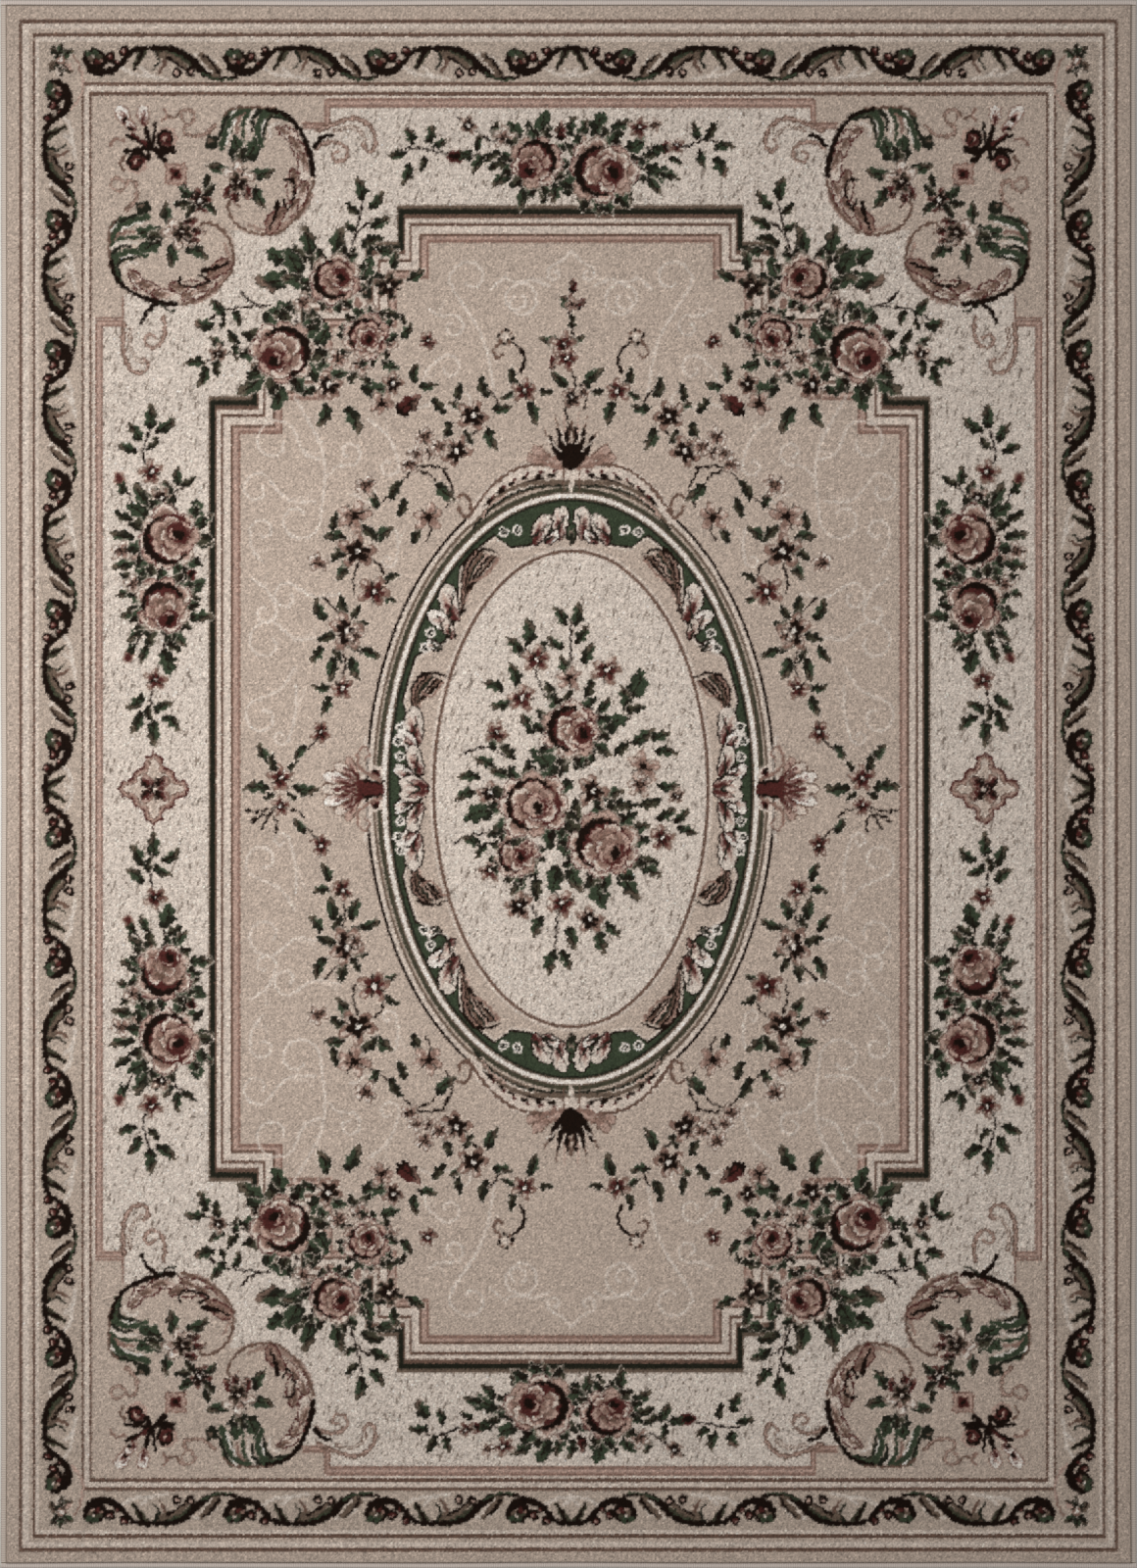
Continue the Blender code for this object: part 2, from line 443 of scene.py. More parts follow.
def unfold(whole, quarter, wander=0.0):
    # Mirrors the quarter over the whole rug; wander shifts the edges of motifs from knot to knot
    down, across = np.mgrid[0:chartHeight, 0:chartWidth] + 0.5
    sway = np.sin(down * 0.71 + 2 * np.sin(across * 0.29)) + 0.5 * np.sin(across * 0.63 + down * 0.41)
    lift = np.sin(across * 0.67 + 2 * np.sin(down * 0.33)) + 0.5 * np.sin(across * 0.37 - down * 0.61)
    beside = across - middleX
    below = down - middleY
    fromMiddleX = np.where(beside < 0, -beside, beside / weaving["rightTight"]) + wander * sway
    fromMiddleY = np.where(below < 0, -below, tightened(below)) + wander * lift
    left = np.clip(middleX - fromMiddleX, 0, middleX - 1)
    top = np.clip(middleY - fromMiddleY, 0, middleY - 1)
    whole.layCloth(quarter, left, top)


# flower sprays: each row is a motif with its place, size and heading (0 is up, 90 is right)
motifs = {  # kind of motif, and its settings where they differ
    "leaf": ("leaf", {}),
    "green": ("leaf", {"tip": "green", "wide": 0.56}),
    "deep": ("leaf", {"yarn": "olive", "tip": "dark"}),
    "dusk": ("leaf", {"tip": "mauve", "wide": 0.52}),
    "wine": ("leaf", {"yarn": "burgundy", "tip": "mauve", "shade": "black", "wide": 0.5}),
    "bloom": ("bloom", {}),
    "dim": ("bloom", {"star": "black"}),
    "light": ("bloom", {"yarn": "pale", "rim": "white", "star": "mauve", "eye": "brown"}),
    "blush": ("bloom", {"yarn": "pink", "star": "mauve", "eye": "black"}),
    "star": ("bloom", {"yarn": "dark", "rim": "taupe", "star": "black", "eye": "pale"}),
    "bud": ("bud", {}),
    "wineBud": ("bud", {"yarn": "burgundy", "heart": "black"}),
    "paleBud": ("bud", {"yarn": "pale", "heart": "mauve"}),
}


def drawMotif(cloth, motif, x, y, size, turn):
    kind, settings = motifs[motif]
    getattr(cloth, kind)(x, y, size, turn, **settings)


def spray(cloth, rows):
    for row in rows:
        drawMotif(cloth, *row)


def stems(cloth, lines, yarn="black", width=2.2):
    for line in lines:
        cloth.stem(line, yarn, width, (1.1, 0.8))


cornerBouquet = {
    "stems": (
        ((352, 275), (362, 240), (369, 212), (371, 192)),
        ((362, 240), (372, 230), (384, 226)),
        ((206, 334), (225, 318), (250, 314), (275, 312)),
        ((246, 298), (254, 307), (264, 311)),
        ((205, 371), (230, 362), (256, 354)),
        ((303, 330), (300, 318), (285, 314)),
        ((322, 318), (330, 330), (326, 345)),
    ),
    "leaves": (
        ("leaf", 366, 193, 27, -12), ("leaf", 384, 205, 24, 38), ("deep", 360, 213, 18, -50),
        ("leaf", 388, 228, 24, 62), ("leaf", 357, 232, 16, -60), ("deep", 380, 247, 26, 70),
        ("leaf", 396, 256, 24, 95), ("leaf", 314, 246, 34, -14), ("deep", 306, 258, 24, -40),
        ("leaf", 347, 247, 34, 10), ("deep", 358, 262, 22, 25), ("green", 283, 262, 28, -62),
        ("green", 299, 268, 32, -30), ("dusk", 278, 284, 38, -95), ("leaf", 300, 288, 30, -70),
        ("green", 374, 274, 26, 25), ("deep", 386, 286, 24, 70), ("leaf", 403, 266, 22, 12),
        ("leaf", 424, 281, 22, 60), ("leaf", 285, 318, 36, -115), ("deep", 305, 312, 22, -150),
        ("leaf", 415, 338, 20, 35), ("deep", 410, 326, 14, 150), ("deep", 397, 322, 22, 100),
        ("green", 328, 342, 26, 28), ("deep", 321, 325, 26, 150), ("green", 345, 385, 22, 60),
        ("green", 330, 368, 26, 200), ("leaf", 222, 314, 24, -38), ("dusk", 208, 331, 22, -75),
        ("leaf", 241, 325, 18, 160), ("deep", 226, 331, 14, 200), ("leaf", 221, 348, 18, -60),
        ("leaf", 199, 371, 22, -88), ("leaf", 206, 384, 24, 200), ("deep", 222, 376, 20, 185),
        ("deep", 238, 344, 20, -40), ("leaf", 240, 361, 18, 170), ("leaf", 256, 391, 38, -128),
        ("green", 281, 405, 30, 185), ("leaf", 310, 397, 24, -88), ("deep", 301, 391, 18, 200),
        ("leaf", 329, 424, 27, 200), ("leaf", 360, 429, 32, 152), ("green", 383, 396, 30, 88),
        ("deep", 372, 385, 20, 140), ("leaf", 424, 381, 22, 8), ("leaf", 436, 393, 20, 82),
        ("wine", 417, 413, 32, 52), ("green", 398, 372, 20, 110), ("deep", 361, 385, 20, 215),
    ),
    "flowers": (
        ("star", 396, 292, 15, 10), ("dim", 334, 393, 16, 0), ("light", 372, 318, 12, 0),
        ("light", 345, 366, 12, 30), ("light", 309, 309, 10, 0), ("bloom", 436, 348, 10, 20),
        ("light", 397, 348, 11, 40), ("dim", 401, 392, 12, 10), ("blush", 389, 412, 13, 180),
        ("light", 368, 372, 12, 180), ("dim", 222, 361, 9, 0), ("paleBud", 365, 312, 24, -5),
        ("blush", 335, 312, 9, 150),
    ),
    "roses": (  # x, y, size, heart across, heart down, turn, heart's yarn
        (341, 285, 27, 0.22, -0.10, 10, "burgundy"),
        (374, 344, 24, 0.05, 0.05, 30, "burgundy"),
        (289, 360, 35, -0.30, 0.20, 0, "burgundy"),
    ),
}

topSpray = {
    "stems": (
        ((399, 157), (420, 151), (449, 156), (478, 158), (510, 158)),
        ((467, 121), (484, 133), (503, 146)),
        ((700, 150), (722, 143), (744, 150)),
        ((640, 150), (668, 152), (700, 150)),
    ),
    "leaves": (
        ("leaf", 405, 158, 20, -100), ("dusk", 417, 139, 20, -18), ("leaf", 438, 137, 22, 15),
        ("leaf", 414, 178, 24, 200), ("deep", 431, 168, 18, 195), ("leaf", 449, 146, 18, 60),
        ("leaf", 488, 146, 18, 10), ("leaf", 489, 168, 24, 215), ("deep", 503, 160, 20, 240),
        ("leaf", 506, 132, 18, 20), ("green", 524, 134, 22, -30), ("deep", 539, 131, 20, -8),
        ("green", 557, 130, 34, 4), ("wine", 573, 134, 20, -5), ("leaf", 584, 129, 22, 10),
        ("leaf", 594, 131, 24, 25), ("green", 612, 128, 30, 20), ("leaf", 634, 130, 26, 55),
        ("leaf", 512, 184, 26, 235), ("deep", 508, 170, 22, 250), ("leaf", 533, 203, 26, 188),
        ("deep", 553, 198, 22, 170), ("leaf", 569, 196, 28, 200), ("leaf", 610, 210, 22, 170),
        ("leaf", 638, 201, 24, 145), ("green", 648, 146, 24, 60), ("leaf", 656, 168, 26, 110),
        ("green", 673, 174, 30, 100), ("leaf", 668, 189, 22, 140), ("leaf", 684, 181, 20, 100),
        ("leaf", 709, 134, 20, -12), ("deep", 726, 134, 22, 30), ("leaf", 739, 151, 22, 85),
        ("leaf", 717, 163, 20, 165), ("dusk", 735, 171, 24, 150), ("leaf", 690, 165, 16, 120),
        ("green", 582, 186, 26, 180), ("deep", 588, 160, 26, 0), ("deep", 664, 160, 22, 75),
    ),
    "flowers": (
        ("wineBud", 466, 160, 22, -95), ("dim", 477, 128, 9, 20), ("light", 514, 141, 12, 0),
        ("bloom", 652, 131, 11, 10), ("wineBud", 680, 151, 20, 80), ("bloom", 690, 149, 8, 0),
        ("light", 668, 128, 7, 0), ("blush", 596, 148, 11, 0),
    ),
    "roses": (
        (546, 165, 28, -0.25, 0.32, 20, "burgundy"),
        (614, 175, 35, 0.30, -0.02, 0, "burgundy"),
    ),
}

sideSpray = {
    "stems": (
        ((152, 438), (147, 455), (146, 468), (152, 482)),
        ((196, 487), (186, 497), (176, 503)),
        ((125, 492), (130, 503), (136, 517)),
        ((158, 690), (154, 710), (153, 735)),
        ((168, 655), (163, 675), (159, 690)),
        ((150, 640), (140, 655), (131, 668)),
    ),
    "leaves": (
        ("leaf", 153, 425, 28, 2), ("leaf", 137, 442, 24, -32), ("leaf", 169, 434, 26, 55),
        ("leaf", 129, 458, 22, -70), ("deep", 156, 452, 18, 40), ("leaf", 182, 486, 22, -8),
        ("deep", 192, 491, 18, 60), ("leaf", 170, 499, 20, -20), ("leaf", 146, 505, 32, -35),
        ("green", 140, 522, 26, -60), ("deep", 158, 507, 22, 10), ("deep", 125, 526, 20, -60),
        ("leaf", 124, 546, 26, -80), ("green", 199, 521, 26, 15), ("leaf", 209, 530, 20, 60),
        ("leaf", 209, 556, 18, 80), ("leaf", 126, 574, 28, -110), ("green", 143, 583, 24, 200),
        ("leaf", 184, 593, 22, 100), ("green", 200, 598, 24, 60), ("deep", 192, 584, 20, 130),
        ("leaf", 128, 607, 22, -95), ("leaf", 133, 624, 26, -120), ("leaf", 137, 645, 24, 215),
        ("leaf", 205, 630, 26, 88), ("deep", 154, 650, 26, 190), ("leaf", 184, 650, 26, 150),
        ("green", 170, 676, 28, 165), ("leaf", 146, 668, 20, 200), ("deep", 129, 590, 18, -60),
        ("leaf", 137, 716, 24, -130), ("leaf", 139, 737, 26, 205), ("leaf", 156, 748, 28, 178),
        ("leaf", 166, 722, 22, 60), ("leaf", 174, 738, 24, 130), ("deep", 152, 728, 18, 170),
        ("deep", 177, 660, 20, 120), ("deep", 196, 608, 20, 120),
    ),
    "flowers": (
        ("bloom", 154, 482, 13, 0), ("bud", 122, 490, 20, -20), ("dim", 164, 508, 11, 30),
        ("light", 124, 562, 11, 0), ("blush", 142, 562, 12, 0), ("light", 136, 596, 10, 0),
        ("wineBud", 194, 587, 16, 40), ("bud", 131, 669, 18, 200), ("bloom", 158, 694, 12, 0),
    ),
    "roses": (
        (172, 550, 34, 0.24, -0.18, 0, "burgundy"),
        (166, 617, 29, 0.20, 0.48, 20, "burgundy"),
    ),
}

garland = {
    "stems": (
        ((511, 417), (505, 405), (498, 398)), ((492, 436), (478, 446), (470, 452)),
        ((460, 470), (440, 462), (430, 458)),
        ((455, 478), (430, 476), (415, 486), (406, 497), (390, 512), (372, 522)),
        ((425, 480), (440, 486), (448, 500)), ((452, 480), (462, 500), (455, 518)),
        ((376, 570), (388, 578), (392, 594)), ((437, 528), (440, 540), (434, 552)),
        ((349, 660), (352, 680), (348, 695)), ((327, 747), (318, 760), (306, 770)),
        ((365, 575), (360, 592), (362, 605)), ((330, 610), (342, 622), (350, 634)),
    ),
    "leaves": (
        ("leaf", 467, 416, 22, -62), ("deep", 494, 395, 24, -15), ("leaf", 512, 416, 22, 82),
        ("leaf", 502, 448, 26, 155), ("leaf", 543, 422, 26, 165), ("deep", 557, 399, 16, 95),
        ("deep", 523, 384, 20, -10), ("leaf", 518, 404, 16, -120), ("leaf", 455, 502, 28, 130),
        ("deep", 409, 518, 22, 200), ("leaf", 390, 545, 28, 60), ("leaf", 341, 548, 24, -88),
        ("leaf", 349, 581, 26, 205), ("leaf", 327, 622, 26, -25), ("deep", 349, 619, 24, -8),
        ("deep", 447, 414, 22, -40), ("deep", 468, 400, 20, 10),
        ("deep", 455, 440, 22, 200), ("deep", 478, 446, 18, 150),
        ("deep", 404, 500, 24, 30), ("leaf", 382, 510, 20, -20),
        ("deep", 425, 545, 22, 20), ("deep", 341, 532, 20, 10),
        ("deep", 376, 545, 24, 130), ("deep", 345, 566, 22, 230),
        ("deep", 400, 590, 18, 60), ("deep", 366, 640, 22, 60),
        ("deep", 333, 650, 22, 250), ("deep", 345, 668, 20, 160), ("deep", 362, 662, 22, 120),
        ("leaf", 322, 667, 22, 215), ("leaf", 338, 683, 26, 190), ("leaf", 362, 682, 26, 160),
        ("leaf", 378, 667, 22, 115), ("leaf", 328, 701, 20, -85), ("leaf", 332, 720, 22, 205),
        ("leaf", 306, 768, 20, 215), ("deep", 363, 625, 18, 30), ("leaf", 397, 612, 16, 110),
    ),
    "flowers": (
        ("dim", 482, 425, 17, 15), ("bloom", 535, 399, 13, 0), ("dim", 465, 461, 17, 30),
        ("light", 424, 463, 10, 0), ("light", 438, 461, 8, 60), ("light", 373, 495, 12, 10),
        ("light", 418, 474, 10, 0), ("light", 433, 446, 11, 0), ("light", 448, 456, 10, 40),
        ("blush", 437, 528, 16, 0), ("blush", 361, 527, 18, 20), ("dim", 364, 563, 20, 0),
        ("light", 324, 574, 11, 0), ("bloom", 381, 604, 17, 20), ("dim", 353, 644, 20, 0),
        ("bloom", 349, 702, 12, 0), ("bloom", 327, 747, 12, 30), ("light", 363, 650, 8, 0),
    ),
    "roses": (),
}

bouquet = {
    "stems": (
        ((583, 630), (582, 655), (583, 690)), ((529, 655), (540, 668), (548, 690), (556, 712)),
        ((512, 719), (525, 712), (540, 722)), ((474, 768), (496, 762), (514, 770)),
        ((464, 860), (480, 852), (495, 850), (510, 840)), ((478, 830), (492, 825), (508, 830)),
        ((568, 925), (568, 945), (566, 970)), ((600, 925), (608, 950), (616, 965)),
        ((648, 724), (640, 735), (630, 742)), ((700, 845), (690, 838), (668, 835)),
        ((656, 753), (640, 760), (628, 770)), ((529, 905), (540, 920), (549, 940)),
    ),
    "leaves": (
        ("leaf", 588, 627, 26, 8), ("leaf", 571, 629, 24, -30), ("leaf", 594, 647, 24, 35),
        ("leaf", 567, 655, 22, -55), ("leaf", 538, 645, 30, 0), ("leaf", 525, 660, 26, -40),
        ("deep", 552, 664, 24, 30), ("leaf", 577, 680, 26, -25), ("leaf", 600, 667, 26, 25),
        ("deep", 601, 702, 22, 20), ("leaf", 524, 688, 26, -20), ("leaf", 503, 701, 24, -70),
        ("leaf", 511, 719, 24, -100), ("deep", 561, 707, 26, -20), ("green", 648, 698, 34, 25),
        ("leaf", 636, 712, 26, -10), ("deep", 648, 723, 22, 80), ("leaf", 616, 719, 22, 40),
        ("green", 625, 741, 34, 60), ("leaf", 613, 766, 26, 120), ("deep", 634, 763, 22, 45),
        ("leaf", 657, 752, 28, 55), ("leaf", 674, 750, 22, 75), ("leaf", 680, 768, 24, 95),
        ("leaf", 682, 801, 24, 88), ("deep", 663, 818, 26, 75), ("leaf", 681, 831, 24, 60),
        ("leaf", 695, 832, 22, 45), ("leaf", 701, 848, 22, 110), ("leaf", 537, 739, 26, -35),
        ("leaf", 494, 779, 26, -65), ("deep", 517, 767, 24, -40), ("leaf", 511, 787, 26, -80),
        ("leaf", 478, 793, 24, -90), ("leaf", 475, 812, 24, -115), ("green", 489, 832, 34, -105),
        ("deep", 506, 845, 26, -140), ("green", 552, 777, 34, -40), ("deep", 573, 778, 30, 10),
        ("leaf", 596, 778, 26, 60), ("leaf", 624, 809, 28, 80), ("deep", 638, 820, 26, 100),
        ("leaf", 652, 846, 26, 70), ("deep", 660, 878, 26, 100), ("green", 566, 897, 30, 190),
        ("leaf", 588, 895, 34, 160), ("green", 614, 909, 38, 175), ("leaf", 641, 906, 34, 140),
        ("leaf", 664, 889, 26, 115), ("leaf", 528, 903, 26, 215), ("deep", 547, 907, 26, 180),
        ("leaf", 549, 946, 26, 200), ("leaf", 583, 957, 26, 165), ("leaf", 563, 982, 28, 190),
        ("leaf", 577, 979, 24, 155), ("leaf", 614, 961, 28, 165), ("leaf", 625, 949, 22, 130),
        ("leaf", 480, 858, 22, -70), ("leaf", 491, 868, 20, 215), ("deep", 590, 828, 26, 170),
        ("leaf", 500, 758, 20, -30), ("deep", 540, 888, 22, 230), ("green", 578, 862, 28, 180),
    ),
    "flowers": (
        ("bloom", 547, 673, 15, 0), ("bloom", 619, 684, 16, 20), ("bloom", 532, 712, 15, 0),
        ("blush", 581, 692, 13, 0), ("bloom", 506, 748, 12, 20), ("blush", 656, 782, 18, 0),
        ("dim", 499, 809, 13, 0), ("dim", 604, 807, 18, 10), ("bloom", 675, 855, 14, 0),
        ("bloom", 500, 888, 12, 0), ("dim", 529, 924, 15, 0), ("bloom", 573, 922, 15, 20),
        ("dim", 601, 939, 15, 0), ("light", 653, 801, 13, 0), ("dim", 690, 812, 8, 0),
    ),
    "roses": (
        (527, 873, 23, 0.15, 0.0, 0, "burgundy"),
        (583, 744, 31, 0.35, 0.10, 10, "burgundy"),
        (545, 822, 36, 0.05, 0.02, 0, "pink"),
        (616, 863, 36, 0.28, 0.16, 15, "mauve"),
    ),
}


def paintSpray(cloth, parts):
    stems(cloth, parts["stems"])
    spray(cloth, parts["leaves"])
    spray(cloth, parts["flowers"])
    for x, y, size, heartX, heartY, turn, heart in parts["roses"]:
        cloth.rose(x, y, size, heartX, heartY, turn, heart)


# running border of leafy waves, one unit laid along both sides
def vineUnit(cloth, place):
    def at(*points):
        return [place(x, y) for x, y in points]

    def dot(x, y, radius, yarn, tall=1.0, heading=0):
        cloth.dot(*place(x, y), radius, yarn, tall, headingAt(place, heading))

    highlights = (
        ((36, 20), (50, 28), (66, 30)),
        ((58, 22), (68, 30), (84, 33)),
        ((112, 8), (124, 10), (134, 18)),
    )
    for line in highlights:
        cloth.stem(at(*line), "white", 5, (0.7, 0.7), strength=0.55)
    # mottled head on its thick stem, with berries
    dot(10, 13, 11, "black", 1.15, 110)
    for x, y, radius, yarn in (
        (4, 7, 3.2, "green"), (11, 6, 3.0, "green"), (6, 13, 2.4, "taupe"), (14, 10, 2.6, "olive"),
        (13, 16, 2.4, "burgundy"), (8, 17, 1.6, "pink"), (17, 14, 1.8, "mauve"), (9, 10, 1.5, "pale"),
    ):
        dot(x, y, radius, yarn, 1.3, 130)
    stalk = at((6, 22), (16, 26), (27, 24.5), (34, 20), (40, 14), (47, 6), (57, 1.6))
    cloth.stem(stalk, "black", 7.2, (1.3, 0.55))
    for x, y, radius in ((26, 11, 5.4), (40, 5, 5.0), (33, 17, 3.4)):
        dot(x, y, radius, "black", 1.1, 20)
        dot(x, y - 0.8, radius * 0.5, "burgundy", 1.1, 20)
        dot(x - 0.6, y - 1.4, radius * 0.24, "pink")
    # leaves that hang from the flat top
    for line, yarn, width in (
        (((60, 4), (56, 12), (50, 22)), "olive", 8), (((59, 5), (55, 14), (50, 23)), "black", 3.4),
        (((76, 6), (82, 15), (76, 26)), "brown", 5), (((72, 5), (76, 14), (70, 23)), "dark", 3.2),
        (((82, 5), (96, 8), (110, 19)), "olive", 11), (((80, 9), (94, 14), (106, 24)), "taupe", 7),
        (((84, 11), (94, 17), (104, 25)), "black", 3.0), (((86, 4), (98, 9), (108, 16)), "green", 3.0),
    ):
        cloth.stem(at(*line), yarn, width, (1.2, 0.5))
    wave = at((50, 3), (64, 1.6), (84, 2), (97, 5), (108, 12), (117, 22), (126, 29))
    cloth.stem(wave, "black", 6.0, (0.8, 1.3))
    cloth.stem(at((112, 19), (124, 29), (138, 32.5), (155, 31)), "black", 6.4, (1.0, 0.5))
    cloth.stem(at((120, 27), (134, 33), (150, 34)), "green", 2.6, (1.0, 0.6))
    for x, y in ((94, 27), (108, 26)):
        dot(x, y, 4.6, "black", 1.2, 10)
        dot(x, y - 0.5, 2.0, "pink")
    # the tail's side leaf
    cloth.stem(at((119, 9), (125, 15), (134, 26)), "taupe", 10, (0.6, 1.1))
    cloth.stem(at((121, 9), (129, 15), (137, 27)), "black", 2.8, (0.6, 1.3))
    cloth.stem(at((117, 12), (122, 19), (130, 27)), "pale", 2.4, (0.8, 0.8))


def headingAt(place, heading):
    # The heading that a turned or mirrored place gives to one in the plain unit
    a = np.radians(heading)
    x0, y0 = place(0, 0)
    x1, y1 = place(np.sin(a), -np.cos(a))
    return np.degrees(np.arctan2(x1 - x0, y0 - y1))


def paintVine(cloth):
    for i in range(4):
        vineUnit(cloth, lambda x, y, start=86 + 144 * i: (start + x, 48 + y))
    for i in range(6):
        vineUnit(cloth, lambda x, y, start=84 + 132.5 * i: (43.5 + y, start + x * 0.92))
    # rosette in the corner, with a short double line round it
    for x, y, size, heading, yarn in (
        (56, 54, 16, -40, "dark"), (69, 56, 15, 50, "green"),
        (55, 68, 15, -140, "taupe"), (68, 70, 15, 130, "pink"),
        (62, 50, 12, 0, "green"), (62, 74, 12, 180, "pale"),
    ):
        cloth.leaf(x, y, size, heading, yarn, "taupe", "dark", 0.6, 0.4)
    cloth.dot(62, 62, 4.4, "mauve")
    cloth.dot(62, 62, 2.0, "white")
    cloth.stem([(75, 58), (80, 66), (82, 76)], "mauve", 2.2)
    cloth.stem([(83, 74), (84, 90), (80, 102), (72, 112)], "pink", 2.4)


# corner ornament: palmette, two C-scrolls with flowers, and their curled tips
palmetteArms = (  # from, through, to, yarn, width
    ((154, 152), (140, 153), (127, 155), "black", 4.6), ((153, 151), (142, 144), (129, 138), "black", 5.0),
    ((152, 150), (143, 143), (134, 137), "burgundy", 3.0), ((154, 151), (150, 138), (147, 125), "black", 5.2),
    ((155, 151), (157, 138), (158, 126), "black", 3.6), ((154, 151), (166, 156), (178, 155), "black", 4.6),
    ((126, 143), (117, 142), (112, 149), "mauve", 3.0), ((166, 124), (170, 117), (166, 112), "mauve", 3.0),
    ((172, 120), (179, 120), (183, 114), "brown", 2.4), ((127, 160), (122, 167), (126, 175), "brown", 2.6),
)
tips = (  # route of a curled tip, yarn, width
    (
        ((324, 134), (340, 127), (362, 121), (378, 130), (383, 145), (378, 155), (371, 150), (373, 143)),
        "pink", 3.2,
    ),
    (((342, 133), (358, 130), (370, 137), (372, 146)), "pale", 2.2),
    (
        ((322, 152), (332, 146), (344, 146), (354, 153), (352, 163), (343, 165), (339, 158), (345, 155)),
        "pink", 2.6,
    ),
    (((321, 150), (328, 141), (338, 138)), "black", 4.4),
    (((126, 331), (125, 350), (127, 366), (135, 379), (147, 380), (151, 371), (146, 366)), "pink", 3.2),
    (((133, 336), (132, 352), (139, 366), (147, 370)), "pale", 2.2),
    (((166, 324), (168, 336), (164, 350), (154, 355), (147, 348), (152, 341), (158, 345)), "pink", 2.6),
    (((160, 310), (150, 318), (144, 330)), "black", 4.4),
    (((162, 310), (170, 316), (178, 318)), "dark", 2.4),
)
folds = (  # x, y, size, heading, fill
    (293, 137, 24, 120, "pale"), (303, 152, 26, 150, "tan"),
    (309, 170, 30, 172, "pale"), (300, 190, 34, 176, "tan"),
    (309, 198, 26, 196, "pale"), (297, 212, 24, 215, "tan"), (282, 225, 30, 214, "mauve"),
)
drapeYarns = ("green", "white", "olive", "mauve", "green", "cream", "dark", "green", "white", "olive")
scrollFlower = (
    ("green", 240, 152, 28, 0), ("green", 254, 153, 28, 28),
    ("deep", 247, 160, 24, 15), ("leaf", 222, 172, 26, -78),
    ("leaf", 267, 176, 28, 82), ("leaf", 265, 202, 26, 152), ("deep", 211, 187, 20, 5),
    ("light", 243, 183, 18, 10), ("wine", 233, 195, 20, 210),
    ("wine", 250, 196, 20, 160), ("wine", 241, 201, 16, 180),
    ("star", 242, 186, 11, 0),
)


cornerLeaves = (
    ("green", 190, 196, 18, -60), ("deep", 213, 194, 18, 45),
    ("deep", 194, 216, 18, 215), ("leaf", 214, 214, 18, 130),
)


def paintPalmette(cloth):
    for x, y, start, spin, foot in ((170, 141, 150, -1, (159, 154)), (139, 167, 70, 1, (152, 154))):
        cloth.dot(x, y, 11, "pink")
        cloth.curl(x, y, 12, "black", start, 0.95, 4.4, spin, [foot])
        cloth.curl(x, y, 7.5, "burgundy", start, 0.9, 3.0, spin)
    for start, through, end, yarn, width in palmetteArms:
        cloth.stem([start, through, end], yarn, width, (1.1, 0.8))
    for x, y, size, heading in ((124, 119, 22, -30), (146, 118, 20, -4), (133, 130, 14, -50)):
        cloth.lobe(x, y, size, heading, "white", "burgundy", 0.52, "mauve")
    cloth.dot(128, 122, 2.4, "black")
    cloth.dot(132, 132, 2.4, "black")
    # square bud on its stalk
    cloth.stem([(162, 158), (168, 164)], "black", 6)
    part, across, down = cloth.window(179, 178, 15)
    for size, yarn in ((11.5, "mauve"), (9.4, "pink"), (7.0, "mauve"), (5.6, "burgundy"), (3.0, "black")):
        cloth.lay(part, size - np.maximum(abs(across - 179), abs(down - 178)), yarn)
    cloth.stem([(186, 190), (193, 197), (202, 204)], "black", 3.8)


def paintScroll(cloth, place):
    # A C-scroll: drapes from its top, folds down its right side and a thin line round its foot
    def draw(points, yarn, width, taper=(1, 1), strength=1.0):
        cloth.stem([place(x, y) for x, y in points], yarn, width, taper, strength=strength)

    spiral = (
        (188, 126), (184, 116), (191, 112), (198, 117), (196, 125), (188, 130),
        (190, 138), (207, 138), (219, 128),
    )
    draw(spiral, "brown", 3.4, (0.8, 1.2))
    draw(spiral, "pink", 1.4)
    draw(((316, 200), (306, 218), (290, 230), (270, 235), (254, 230)), "mauve", 8, (0.9, 0.4), 0.7)
    rim = (
        (320, 186), (312, 208), (297, 228), (280, 239), (258, 238), (241, 229),
        (232, 213), (236, 205), (243, 211),
    )
    draw(rim, "brown", 3.0)
    for x, y, size, heading, fill in folds:
        cloth.lobe(*place(x, y), size, headingAt(place, heading), fill, "brown", 0.42, "burgundy")
    draw(((289, 184), (298, 184), (300, 198), (294, 214), (288, 204)), "black", 2.6)
    draw(((275, 234), (280, 222), (283, 208)), "black", 4.4, (0.6, 1.2))
    for i, yarn in enumerate(drapeYarns):
        x = 235 + 5.0 * i
        length = 25 + 6 * np.sin(1.9 * i)
        foot = (x - 8 - 2 * np.sin(i), 114 + length)
        draw(((x, 113), (x - 7, 114 + length * 0.4), foot), yarn, 4.6, (1.1, 0.6))
    draw(((293, 120), (276, 114), (265, 124), (263, 136), (267, 149)), "green", 7.6, (0.9, 0.7))
    draw(((290, 122), (277, 120), (270, 128), (269, 142)), "dark", 2.6)
    draw(((284, 126), (275, 130), (276, 140)), "cream", 3.0)
    draw(((226, 150), (231, 136), (236, 121), (252, 112)), "green", 5.4, (1.4, 0.8))
    draw(((231, 146), (234, 134), (240, 122)), "white", 2.0)
    draw(((228, 119), (238, 111), (256, 110), (280, 111)), "brown", 2.6)
    draw(((213, 139), (221, 143), (226, 132), (232, 118)), "dark", 3.6, (1.2, 0.7))
    cloth.dot(*place(216, 146), 6.4, "dark", 1.2, headingAt(place, 20))
    cloth.dot(*place(214, 144), 2.4, "taupe")
    draw(((272, 112), (290, 117), (303, 129), (312, 146), (317, 162), (319, 178)), "black", 5.6, (0.7, 1.1))
    for motif, x, y, size, heading in scrollFlower:
        drawMotif(cloth, motif, *place(x, y), size, headingAt(place, heading))


